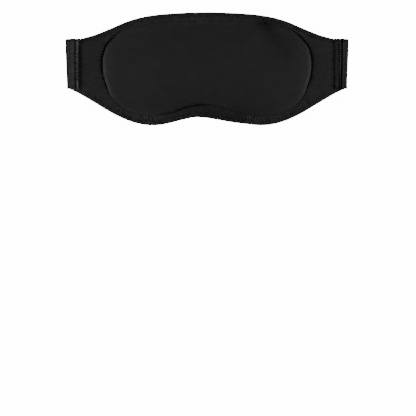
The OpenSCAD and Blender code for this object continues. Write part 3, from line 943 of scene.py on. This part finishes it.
def tab_painted_shade(side, x, y):
    """Tone of the sewn end, with painted shade where thread pulls it in, at the cut edge, in the grooves and over the
    fold's outer part, and painted highlight on the puffed ridge and between the stitches.
    """
    wob = 0.22 * noise(x * 0 + 2, y, 9.0, 51)
    u = x + wob
    bell = lambda c, w: np.exp(-((u - c) / w) ** 2)
    e_top, e_low = Y0 + W - y, y - Y0
    s = 1.0 + 0.09 * noise(x, y, 3.0, 81) + 0.05 * noise(x, y, 1.4, 84) + 0 * x
    # painted shade at the step of the strap's cut edge
    s = s - (0.42 + 0.16 * np.cos(2 * np.pi * (y - Y0) / 2.7)) * bell(112.6, 0.9)
    if side == "left":
        ends = smooth01((12.0 - e_top) / 6.0) + smooth01((9.0 - e_low) / 5.0)
        # painted highlight on the ridge's ends and painted shade on its middle, with random patches
        s = s + bell(114.2, 0.65) * (-0.26 + 0.5 * ends + 0.5 * noise(x * 0, y, 2.0, 82) + 0.3 * noise(x * 0, y, 5.0, 83))
        # painted shade in the row of stitch dimples, deeper towards the bottom
        dot = np.cos(2 * np.pi * (y - Y0) / 2.8)
        s = s - bell(115.7, 0.6) * (0.1 + (0.15 + 0.6 * smooth01((7.0 - y) / 8.0)) * smooth01((dot - 0.0) / 0.5))
        # painted highlight beside the fold and painted shade over the fold's outer part
        s = s + 0.16 * bell(118.4, 1.4) * (0.6 + 0.8 * noise(x, y, 4.0, 85)) - 0.44 * smooth01((x - 119.8) / 1.8)
    else:
        # a darker band across the sewn end
        s = s - 0.44 * smooth01((u - 113.0) / 0.9) * smooth01((120.8 - u) / 1.2)
        s = s - 0.10 * smooth01((u - 115.2) / 1.2) * smooth01((120.8 - u) / 1.2)
        # painted highlight in spots on the ridge
        s = s + 0.22 * bell(114.9, 0.45) * smooth01((np.cos(2 * np.pi * (y - Y0) / 2.4 + 1.3) - 0.1) / 0.5)
        # painted shade in the stitch dimples and painted highlight between them
        dot = np.cos(2 * np.pi * ((y - Y0) / 2.2 + 0.4))
        s = s - 0.8 * bell(116.5, 0.75) * smooth01((dot + 0.2) / 0.5)
        s = s + 1.15 * bell(117.5, 0.6) * smooth01((-dot + 0.1) / 0.6) * (0.4 + 0.6 * smooth01((y + 10) / 10.0))
        # painted shade in the groove, and darker further out
        s = s - 0.62 * bell(118.8, 0.95) * (0.75 + 0.25 * smooth01((4 - y) / 8.0)) * (0.72 + 0.28 * dot) - 0.2 * smooth01((x - 120.0) / 1.0)
        # painted highlight in spots outside the groove
        s = s + 0.30 * bell(121.2, 0.5) * smooth01((np.cos(2 * np.pi * (y - Y0) / 2.4) - 0.1) / 0.5)
        # darker towards the bottom
        s = s - 0.3 * bell(117.6, 1.6) * smooth01((-4 - y) / 6.0)
    # painted shade in dots along the dip below the top selvedge
    row = np.exp(-((e_top - 2.0) / 0.6) ** 2) * smooth01((x - 113.5) / 1.0)
    s = s - 0.75 * row * smooth01((np.cos(2 * np.pi * x / 2.2) + 0.5) / 0.6)
    # painted shade over the fold's outer part and its edge
    return np.clip(s - 0.42 * smooth01((x - 120.6) / 3.2) - 0.2 * smooth01((x - 124.0) / 0.7), 0.12, 2.3)


def anchor_off(side, x, y):
    """How far the sewn end's top lies off its plain height: rows pulled down by stitches, ridges puffed between."""
    k = np.array(PROFILE[side])
    x = np.asarray(x, float)
    wob = 0.22 * noise(x * 0 + 2, y, 9.0, 51)
    off = np.interp(x + wob, k[:, 0], k[:, 1])
    for r, pitch, amp, ph, across, along in DOTS[side]:
        dot = np.cos(2 * np.pi * ((y - Y0) / pitch + ph))
        low = 0.6 + 0.4 * smooth01((8.0 - y) / 14.0) if side == "left" else 0.75 + 0.25 * smooth01((y - 4.0) / 10.0)
        off = off - amp * dot * low * np.exp(-((x + wob - r) / 0.55) ** 2)
    puff = np.exp(-((x + wob - 114.2) / 0.8) ** 2) if side == "left" else 0.5 * np.exp(-((x + wob - 117.5) / 0.4) ** 2)
    off = off + 0.28 * puff * noise(x * 0 + 3, y, 2.4, 31)
    # a thick selvedge, with a dip inside it
    e = np.minimum(y - Y0, Y0 + W - y)
    off = off * (0.35 + 0.65 * smooth01(e / 2.6))
    return off + 0.22 * np.exp(-((e - 0.9) / 0.5) ** 2) - 0.3 * np.exp(-((e - 2.1) / 0.6) ** 2) * (x > 113.5)


def anchor_shape(side, sign):
    def extra(s, y, face, path):
        if face != sign:
            return 0.0 * s * y
        x = np.abs(path[:, 0])[:, None] + 0 * y
        yy = y + 0 * x
        w = smooth01((path[:, 1][:, None] - 8.4) / 1.0)
        return w * anchor_off(side, x, yy)
    return extra


straps = {}
for side, sx, fold_x, fold_z, fold_r, run_z, x_end in (
        ("left", -1, 119.775, 5.225, 4.525, 0.7, -104.0),
        ("right", 1, 121.525, 6.975, 2.775, 4.2, 112.0)):
    # centreline: sewn end, fold, start of the run
    a = np.linspace(112.0, fold_x, 40)
    lead = [(x, fold_z + fold_r) for x in a[:-1]]
    th = np.linspace(0, np.pi, 44)
    turn = [(fold_x + fold_r * math.sin(t), fold_z + fold_r * math.cos(t)) for t in th]
    run = [(x, run_z) for x in np.linspace(fold_x, abs(x_end), 14)[1:]]
    path = np.array(lead + turn + run)
    half = np.full(len(path), 0.7)
    q = np.clip((path[:, 0] - 112.0) / 0.7, 0, 1)
    first = np.arange(len(path)) < 12
    half = np.where(first, 0.7 * np.sqrt(np.clip(1 - (1 - q) ** 2, 0.02, 1)), half)
    # in the mirror image the path turns the other way, so its outer face has the other sign
    P = path * np.array([sx, 1])
    T = np.gradient(P, axis=0)
    nz = T[5, 0]
    sign = 1 if nz > 0 else -1
    def lat(s, ys, path):
        x, z = np.abs(path[:, 0])[:, None], path[:, 1][:, None]
        wave = 0.3 * noise(x * 1.0, ys * 0, 4.0, 41) * np.exp(-np.minimum(ys, W - ys) / 1.5)
        # the sewn end is drawn out a little at its lower corner
        drawn = -1.7 * smooth01((123.5 - x) / 5.0) * smooth01((z - run_z - 2.0) / 3.0) * np.clip(1 - ys / 16.0, 0, 1) ** 1.5
        return wave * (z > run_z + 1.0) + drawn
    def lean(V):
        # the fold leans in towards its lower end
        ax = np.abs(V[:, 0])
        t = np.clip((ax - 118.0) / 6.5, 0, 1)
        q = np.clip((18.0 - V[:, 1]) / 36.0, 0, 1)
        V[:, 0] -= np.sign(V[:, 0]) * 1.5 * t * q * np.clip((V[:, 2] - run_z) / 2.0, 0, 1)
        return V
    # the sewn end's top carries painted shade and painted highlight in its colour
    ob = webbing(f"{side}_strap_sewn_end", P, half, lateral=lat, extra=anchor_shape(side, sign), warp=lean,
                 shade=lambda V: np.where(V[:, 2] > fold_z, tab_painted_shade(side, np.abs(V[:, 0]), V[:, 1]), 1.0))
    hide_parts(f"{side}_strap_anchor", f"{side}_strap_fold")
    straps[side] = (ob, fold_z, fold_r)

left_run = webbing("left_strap_run", np.column_stack([np.concatenate([np.arange(-104.0, 44.0, 1.6), [44.0]]), np.full(94, 0.7)]), 0.7)
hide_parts("left_elastic", "left_end_webbing")
xs = np.concatenate([np.arange(44.0, 79.2, 0.9), [79.4, 79.7, 79.9, 80.0]])
hl = 0.7 * np.sqrt(np.clip(1 - (1 - np.clip((80.0 - xs) / 0.7, 0.02, 1)) ** 2, 0, 1))
hook_tab = webbing("hook_tab", np.column_stack([xs, np.full(len(xs), 0.7)]), hl)
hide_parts("hook_tab_webbing")
xs = np.concatenate([[112.0], np.arange(110.8, 40.8, -1.2), [40.6, 40.3, 40.1, 40.0]])
hl = 0.7 * np.sqrt(np.clip(1 - (1 - np.clip((xs - 40.0) / 0.7, 0.02, 1)) ** 2, 0, 1))
right_run = webbing("right_strap_run", np.column_stack([xs, np.full(len(xs), 4.2)]), hl)
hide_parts("right_elastic", "right_end_webbing")


# stitches of the sewn ends: a zigzag over the cut edge, straight rows behind it
def anchor_stitches(side, sx):
    paths = []
    for r, pitch, amp, ph, across, along in DOTS[side]:
        n = int((W - 1.6) / pitch) + 1
        for i in range(n):
            y = Y0 + (i + 1 - ph) * pitch
            if not Y0 + 1.2 < y < Y0 + W - 1.6:
                continue
            q = np.linspace(-1, 1, 7)
            xx = r - 0.1 * (across > 0) - across * q
            yy = y + q * pitch * along * (1 if across == 0 or i % 2 else -1)
            zz = np.where(xx >= 112.15, 10.45 + anchor_off(side, np.maximum(xx, 112.3), yy) + 0.10, 9.3)
            zz = np.maximum(zz, 9.25) - 0.35 * np.abs(q) ** 6
            paths.append(np.column_stack([sx * xx, yy, zz]))
    V, F = tubes(paths, 0.38, sides=8)
    ob = make(f"{side}_sewn_end_thread", V, F)
    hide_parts(f"{side}_anchor_stitches")
    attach(ob, f"{side}_wing")
    return ob


anchor_thread = {"left": anchor_stitches("left", -1), "right": anchor_stitches("right", 1)}


# ------------------------------------------------------------------ hook and loop patches
def patch_base(name, x0, x1, y0, y1, z0, z1, down=False):
    """Woven tape with a rolled border."""
    nx, ny = 60, 70
    xs, ys = np.linspace(x0, x1, nx), np.linspace(y0, y1, ny)
    X, Y = np.meshgrid(xs, ys)
    e = np.minimum(np.minimum(X - x0, x1 - X), np.minimum(Y - y0, y1 - Y))
    h = z1 - z0
    prof = h * np.sqrt(np.clip(1 - (1 - np.clip(e / 0.4, 0, 1)) ** 2, 0.0, 1))
    prof += 0.04 * np.sin(X * 2 * np.pi / 0.8) * np.sin(Y * 2 * np.pi / 0.8) * (e > 0.3)
    top = np.column_stack([X.ravel(), Y.ravel(), (z0 + prof).ravel()])
    bot = np.column_stack([X.ravel(), Y.ravel(), np.full(X.size, z0)])
    if down:
        top[:, 2] = z1 - (top[:, 2] - z0)
        bot[:, 2] = z1
    V = np.vstack([top, bot])
    F = grid_faces(ny, nx) + grid_faces(ny, nx, flip=True, base=nx * ny)
    if down:
        F = [tuple(reversed(f)) for f in F]
    b = nx * ny
    rim = list(range(nx)) + [r * nx + nx - 1 for r in range(1, ny)] + [(ny - 1) * nx + c for c in range(nx - 2, -1, -1)] + [r * nx for r in range(ny - 2, -1, -1)]
    for p, q in zip(rim[:-1], rim[1:]):
        f = (p, b + p, b + q, q)
        F.append(tuple(reversed(f)) if down else f)
    return make(name, V, F)


hook_x, hook_len, loop_x, loop_len = 48.0, 30.0, 42.0, 40.0
PY0, PY1 = Y0 + 2, Y0 + W - 2
hook_base = patch_base("hook_patch_tape", hook_x, hook_x + hook_len, PY0, PY1, 1.4, 1.9)
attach(hook_base, "hook_tab")
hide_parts("hook_patch")
paths = []
for ix, x in enumerate(np.arange(hook_x + 2.9, hook_x + hook_len - 2.6, 1.35)):
    for iy, y in enumerate(np.arange(PY0 + 2.9, PY1 - 2.6, 1.35)):
        sgn = 1 if iy % 2 else -1
        x1, y1 = x + 0.06 * rng.standard_normal(), y + 0.06 * rng.standard_normal()
        a = np.radians([0, 50, 100, 150, 195])
        r = 0.19
        pts = [[x1, y1, 1.82], [x1, y1, 2.12]]
        for t in a:
            pts.append([x1 + sgn * (r - r * math.cos(t)), y1, 2.12 + r * math.sin(t)])
        paths.append(np.array(pts))
V, F = tubes(paths, 0.07, sides=5)
hooks = make("hook_patch_hooks", V, F)
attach(hooks, "hook_tab")
loop_base = patch_base("loop_patch_tape", loop_x, loop_x + loop_len, PY0, PY1, 3.0, 3.5, down=True)
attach(loop_base, "right_strap_end")
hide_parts("loop_patch")
paths = []
for _ in range(2600):
    x = rng.uniform(loop_x + 2.6, loop_x + loop_len - 2.6)
    y = rng.uniform(PY0 + 2.6, PY1 - 2.6)
    a = rng.uniform(0, 2 * np.pi)
    w, h = rng.uniform(0.35, 0.8), rng.uniform(0.12, 0.27)
    t = np.linspace(-1, 1, 6)
    zz = 3.02 - h * (1 - t ** 2)
    paths.append(np.column_stack([x + t * w * math.cos(a) + 0.15 * t ** 2, y + t * w * math.sin(a), zz]))
V, F = tubes(paths, 0.045, sides=4)
pile = make("loop_patch_pile", V, F)
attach(pile, "right_strap_end")


def border_stitches(name, x0, x1, z, body, node, down):
    paths = []
    b = 1.2
    def run(p, q):
        p, q = np.array(p, float), np.array(q, float)
        L = np.linalg.norm(q - p)
        n = int(L / 2.6)
        for i in range(n):
            a = p + (q - p) * (i + 0.12) / n
            c = p + (q - p) * (i + 0.88) / n
            t = np.linspace(0, 1, 6)
            pts = a + (c - a) * t[:, None]
            zz = z + (1 if down else -1) * 0.22 * (2 * np.abs(t - 0.5)) ** 4
            paths.append(np.column_stack([pts, zz]))
    run((x0 + b, PY0 + b), (x1 - b, PY0 + b))
    run((x1 - b, PY0 + b), (x1 - b, PY1 - b))
    run((x1 - b, PY1 - b), (x0 + b, PY1 - b))
    run((x0 + b, PY1 - b), (x0 + b, PY0 + b))
    V, F = tubes(paths, 0.14)
    ob = make(name, V, F)
    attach(ob, body)
    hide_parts(node)
    return ob


hook_thread = border_stitches("hook_patch_thread", hook_x, hook_x + hook_len, 1.98, "hook_tab", "hook_patch_stitches", False)
loop_thread = border_stitches("loop_patch_thread", loop_x, loop_x + loop_len, 2.92, "right_strap_end", "loop_patch_stitches", True)


# ------------------------------------------------------------------ materials
def principled(name):
    m = bpy.data.materials.new(name)
    m.use_nodes = True
    nt = m.node_tree
    nt.nodes.clear()
    out = nt.nodes.new("ShaderNodeOutputMaterial")
    b = nt.nodes.new("ShaderNodeBsdfPrincipled")
    nt.links.new(b.outputs[0], out.inputs[0])
    return m, nt, b


def node(nt, kind, **inputs):
    n = nt.nodes.new(kind)
    for k, v in inputs.items():
        n.inputs[k.replace("_", " ")].default_value = v
    return n


def rest_coords(nt, scale=(1, 1, 1), rot=0.0, carried=False):
    """Coordinates in mm that stay with the cloth. Parts carried over from the frame use their own object space."""
    if carried:
        tc = nt.nodes.new("ShaderNodeTexCoord")
        src = tc.outputs["Object"]
        scale = tuple(1000 * s for s in scale)
    else:
        at = nt.nodes.new("ShaderNodeAttribute")
        at.attribute_name = "rest_mm"
        src = at.outputs["Vector"]
    mp = nt.nodes.new("ShaderNodeMapping")
    mp.inputs["Scale"].default_value = scale
    mp.inputs["Rotation"].default_value = (0, 0, rot)
    nt.links.new(src, mp.inputs["Vector"])
    return mp.outputs["Vector"]


def knit(name, color, light, wale=0.62, strength=0.35, rough=(0.55, 0.68), sheen=0.06, carried=False, shaded=False):
    """Fine jersey: columns of V stitches, softly uneven in tone."""
    m, nt, b = principled(name)
    L = nt.links.new
    v = rest_coords(nt, carried=carried)
    sep = nt.nodes.new("ShaderNodeSeparateXYZ")
    L(v, sep.inputs[0])

    def math_(op, a, bb=None):
        n = nt.nodes.new("ShaderNodeMath")
        n.operation = op
        for i, s in enumerate((a, bb)):
            if s is None:
                continue
            if isinstance(s, (int, float)):
                n.inputs[i].default_value = s
            else:
                L(s, n.inputs[i])
        return n.outputs[0]
    cx = math_("MULTIPLY", sep.outputs[0], 2 * math.pi / wale)
    col = math_("ABSOLUTE", math_("SINE", math_("MULTIPLY", cx, 0.5)))
    skew = math_("MULTIPLY", col, 2.2)
    cy = math_("ADD", math_("MULTIPLY", sep.outputs[1], 2 * math.pi / (wale * 0.78)), skew)
    row = math_("ADD", math_("MULTIPLY", math_("SINE", cy), 0.5), 0.5)
    height = math_("MULTIPLY", col, math_("ADD", math_("MULTIPLY", row, 0.6), 0.4))
    nz = node(nt, "ShaderNodeTexNoise", Scale=0.16, Detail=3.0, Roughness=0.55)
    L(v, nz.inputs["Vector"])
    fz = node(nt, "ShaderNodeTexNoise", Scale=4.5, Detail=2.0, Roughness=0.6)
    L(v, fz.inputs["Vector"])
    ramp = nt.nodes.new("ShaderNodeMix")
    ramp.data_type = "RGBA"
    ramp.inputs[6].default_value = (*color, 1)
    ramp.inputs[7].default_value = (*light, 1)
    # random tone, plus painted highlight on the stitches' raised parts
    tone = math_("ADD", math_("MULTIPLY", nz.outputs["Fac"], 0.55), math_("MULTIPLY", height, 0.45))
    L(tone, ramp.inputs[0])
    # the shade attribute multiplies painted shade and painted highlight into the base colour
    if shaded:
        at = nt.nodes.new("ShaderNodeAttribute")
        at.attribute_name = "shade"
        mul = nt.nodes.new("ShaderNodeVectorMath")
        mul.operation = "SCALE"
        L(ramp.outputs[2], mul.inputs[0])
        L(math_("POWER", at.outputs["Fac"], 1.6), mul.inputs["Scale"])
        L(mul.outputs[0], b.inputs["Base Color"])
    else:
        L(ramp.outputs[2], b.inputs["Base Color"])
    mr = nt.nodes.new("ShaderNodeMapRange")
    mr.inputs[3].default_value, mr.inputs[4].default_value = rough
    L(fz.outputs["Fac"], mr.inputs[0])
    L(mr.outputs[0], b.inputs["Roughness"])
    bump = nt.nodes.new("ShaderNodeBump")
    bump.inputs["Strength"].default_value = strength
    bump.inputs["Distance"].default_value = 0.00012
    hh = math_("ADD", height, math_("MULTIPLY", fz.outputs["Fac"], 0.5))
    L(hh, bump.inputs["Height"])
    L(bump.outputs[0], b.inputs["Normal"])
    b.inputs["Sheen Weight"].default_value = sheen
    b.inputs["Sheen Roughness"].default_value = 0.45
    b.inputs["Specular IOR Level"].default_value = 0.22
    return m


def woven(name, color, light, rib=1.1, weft=0.9, strength=0.5, rough=(0.5, 0.68), sheen=0.2, carried=False):
    """Ribbed elastic webbing: cords along the length, weft picks across."""
    m, nt, b = principled(name)
    L = nt.links.new
    v = rest_coords(nt, carried=carried)
    sep = nt.nodes.new("ShaderNodeSeparateXYZ")
    L(v, sep.inputs[0])

    def math_(op, a, bb=None):
        n = nt.nodes.new("ShaderNodeMath")
        n.operation = op
        for i, s in enumerate((a, bb)):
            if s is None:
                continue
            if isinstance(s, (int, float)):
                n.inputs[i].default_value = s
            else:
                L(s, n.inputs[i])
        return n.outputs[0]
    across = math_("ABSOLUTE", math_("SINE", math_("MULTIPLY", sep.outputs[1], math.pi / rib)))
    par = math_("MULTIPLY", math_("FLOOR", math_("DIVIDE", sep.outputs[1], rib)), math.pi)
    along = math_("ADD", math_("MULTIPLY", math_("SINE", math_("ADD", math_("MULTIPLY", sep.outputs[0], 2 * math.pi / weft), par)), 0.5), 0.5)
    height = math_("MULTIPLY", across, math_("ADD", math_("MULTIPLY", along, 0.7), 0.3))
    nz = node(nt, "ShaderNodeTexNoise", Scale=0.25, Detail=3.0, Roughness=0.6)
    L(v, nz.inputs["Vector"])
    fz = node(nt, "ShaderNodeTexNoise", Scale=5.0, Detail=2.0, Roughness=0.6)
    L(v, fz.inputs["Vector"])
    mix = nt.nodes.new("ShaderNodeMix")
    mix.data_type = "RGBA"
    mix.inputs[6].default_value = (*color, 1)
    mix.inputs[7].default_value = (*light, 1)
    # random tone, plus painted highlight on the ribs' raised parts
    L(math_("ADD", math_("MULTIPLY", nz.outputs["Fac"], 0.4), math_("MULTIPLY", height, 0.6)), mix.inputs[0])
    # the shade attribute multiplies painted shade and painted highlight into the base colour
    at = nt.nodes.new("ShaderNodeAttribute")
    at.attribute_name = "shade"
    mul = nt.nodes.new("ShaderNodeVectorMath")
    mul.operation = "SCALE"
    L(mix.outputs[2], mul.inputs[0])
    L(math_("POWER", at.outputs["Fac"], 1.6), mul.inputs["Scale"])
    L(mul.outputs[0], b.inputs["Base Color"])
    b.inputs["Specular IOR Level"].default_value = 0.11
    mr = nt.nodes.new("ShaderNodeMapRange")
    mr.inputs[3].default_value, mr.inputs[4].default_value = rough
    L(fz.outputs["Fac"], mr.inputs[0])
    L(mr.outputs[0], b.inputs["Roughness"])
    bump = nt.nodes.new("ShaderNodeBump")
    bump.inputs["Strength"].default_value = strength
    bump.inputs["Distance"].default_value = 0.00018
    L(math_("ADD", height, math_("MULTIPLY", fz.outputs["Fac"], 0.3)), bump.inputs["Height"])
    L(bump.outputs[0], b.inputs["Normal"])
    b.inputs["Sheen Weight"].default_value = sheen
    b.inputs["Sheen Roughness"].default_value = 0.4
    return m


def yarn(name, color, light, scale=3.0, rough=(0.55, 0.8), sheen=0.1, carried=False, bump_d=0.00006, spec=0.3):
    """Twisted thread, moulded hooks, pile or foam: a small grain."""
    m, nt, b = principled(name)
    L = nt.links.new
    v = rest_coords(nt, carried=carried)
    nz = node(nt, "ShaderNodeTexNoise", Scale=scale, Detail=4.0, Roughness=0.65)
    L(v, nz.inputs["Vector"])
    wv = node(nt, "ShaderNodeTexWave", Scale=1.6, Distortion=2.0, Detail=1.0)
    wv.bands_direction = "DIAGONAL"
    L(v, wv.inputs["Vector"])
    mix = nt.nodes.new("ShaderNodeMix")
    mix.data_type = "RGBA"
    mix.inputs[6].default_value = (*color, 1)
    mix.inputs[7].default_value = (*light, 1)
    L(nz.outputs["Fac"], mix.inputs[0])
    L(mix.outputs[2], b.inputs["Base Color"])
    mr = nt.nodes.new("ShaderNodeMapRange")
    mr.inputs[3].default_value, mr.inputs[4].default_value = rough
    L(nz.outputs["Fac"], mr.inputs[0])
    L(mr.outputs[0], b.inputs["Roughness"])
    bump = nt.nodes.new("ShaderNodeBump")
    bump.inputs["Strength"].default_value = 0.5
    bump.inputs["Distance"].default_value = bump_d
    L(wv.outputs["Fac"], bump.inputs["Height"])
    L(bump.outputs[0], b.inputs["Normal"])
    b.inputs["Sheen Weight"].default_value = sheen
    b.inputs["Specular IOR Level"].default_value = spec
    return m


cover_mat = knit("cover_knit", (0.0079, 0.0079, 0.0079), (0.0138, 0.0138, 0.0138), shaded=True)
lining_mat = knit("lining_knit", (0.012, 0.012, 0.012), (0.020, 0.020, 0.020), wale=0.8, strength=0.5, sheen=0.10)
elastic_mat = woven("elastic", (0.0160, 0.0160, 0.0160), (0.0410, 0.0410, 0.0410), sheen=0.03)
thread_mat = yarn("thread", (0.006, 0.006, 0.006), (0.012, 0.012, 0.012), rough=(0.55, 0.7), sheen=0.0, spec=0.2)
seam_thread_mat = yarn("seam_thread", (0.006, 0.006, 0.006), (0.011, 0.011, 0.011), rough=(0.55, 0.7), sheen=0.0, spec=0.12)
dark_thread_mat = yarn("dark_thread", (0.0025, 0.0025, 0.0025), (0.005, 0.005, 0.005), rough=(0.6, 0.75), sheen=0.0, spec=0.08)
hook_mat = yarn("hook_tape", (0.010, 0.010, 0.010), (0.016, 0.016, 0.016), rough=(0.35, 0.5))
loop_mat = yarn("loop_tape", (0.010, 0.010, 0.010), (0.018, 0.018, 0.018), rough=(0.8, 0.95), sheen=0.5)
foam_mat = yarn("foam", (0.012, 0.012, 0.012), (0.02, 0.02, 0.02), scale=2.5, rough=(0.85, 0.97), carried=True, bump_d=0.0003)
film_mat = yarn("film", (0.005, 0.005, 0.005), (0.009, 0.009, 0.009), scale=0.5, rough=(0.4, 0.55), carried=True)

for ob, mt in [(pad_cover, cover_mat), (fabric["left"], cover_mat), (fabric["right"], cover_mat),
               (fabric["left_back"], lining_mat), (fabric["right_back"], lining_mat),
               (fabric["left_overlock"], thread_mat), (fabric["right_overlock"], thread_mat),
               (fabric["left_seam"], seam_thread_mat), (fabric["right_seam"], seam_thread_mat),
               (straps["left"][0], elastic_mat), (straps["right"][0], elastic_mat), (left_run, elastic_mat), (right_run, elastic_mat),
               (hook_tab, elastic_mat), (anchor_thread["left"], dark_thread_mat), (anchor_thread["right"], dark_thread_mat),
               (hook_base, hook_mat), (hooks, hook_mat), (loop_base, loop_mat), (pile, loop_mat),
               (hook_thread, thread_mat), (loop_thread, thread_mat), (pad_foam, foam_mat), (base_layer, foam_mat)]:
    ob.data.materials.clear()
    ob.data.materials.append(mt)

for n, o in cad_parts.items():
    ob = o if isinstance(o, bpy.types.Object) else bpy.data.objects.get(n)
    if ob is None or ob.type != "MESH":
        continue
    mt = film_mat if "film" in n else foam_mat
    if "foam" in n or "film" in n:
        for sl in ob.material_slots:
            sl.material = mt
        if not ob.material_slots:
            ob.data.materials.append(mt)

# ------------------------------------------------------------------ transforms baked into the cloth, thread and strap meshes
for side in ("left", "right"):
    a, b = BLEND[side]
    for key in (side, side + "_back", side + "_overlock", side + "_seam"):
        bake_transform(fabric[key])
    ob, fz, fr = straps[side]
    sx = -1 if side == "left" else 1
    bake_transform(ob)
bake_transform(left_run)
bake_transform(hook_tab)
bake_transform(right_run)

# ------------------------------------------------------------------ an empty loop over the two sides: nothing is set here
for side, cut in (("left", 0.009764), ("right", 0.009823)):
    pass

# ------------------------------------------------------------------ stage and light
bm_verts = [(-3, -3, -0.0006), (3, -3, -0.0006), (3, 3, -0.0006), (-3, 3, -0.0006)]
fme = bpy.data.meshes.new("floor")
fme.from_pydata(bm_verts, [], [(0, 1, 2, 3)])
floor = bpy.data.objects.new("floor", fme)
bpy.context.scene.collection.objects.link(floor)
fm, fnt, fb = principled("pale_floor")
fb.inputs["Base Color"].default_value = (0.9, 0.9, 0.9, 1)
fb.inputs["Roughness"].default_value = 0.9
fb.inputs["Emission Color"].default_value = (1, 1, 1, 1)
fb.inputs["Emission Strength"].default_value = 14.0
fme.materials.append(fm)
floor.visible_diffuse = False
floor.visible_glossy = False

world = bpy.data.worlds.new("studio")
bpy.context.scene.world = world
world.use_nodes = True
world.node_tree.nodes["Background"].inputs[0].default_value = (1, 1, 1, 1)
world.node_tree.nodes["Background"].inputs[1].default_value = 0.18


def area(name, loc, size, power, target=(0, 0, 0)):
    d = bpy.data.lights.new(name, "AREA")
    d.shape = "RECTANGLE"
    d.size, d.size_y = size
    d.energy = power
    o = bpy.data.objects.new(name, d)
    bpy.context.scene.collection.objects.link(o)
    o.location = loc
    v = np.array(target, float) - np.array(loc, float)
    from mathutils import Vector
    o.rotation_euler = Vector(v).to_track_quat("-Z", "Y").to_euler()
    return o


top_light = area("overhead", (0.0, -0.1, 3.4), (2.4, 2.4), 6.0)
top_light.visible_glossy = False
brow_light = area("brow_side", (0.0, 1.3, 0.42), (1.4, 0.3), 11.0)
brow_light.visible_glossy = False
area("side_left", (-1.15, -0.16, 0.37), (0.6, 0.36), 15.0)
area("side_right", (1.15, -0.16, 0.37), (0.6, 0.36), 14.1)
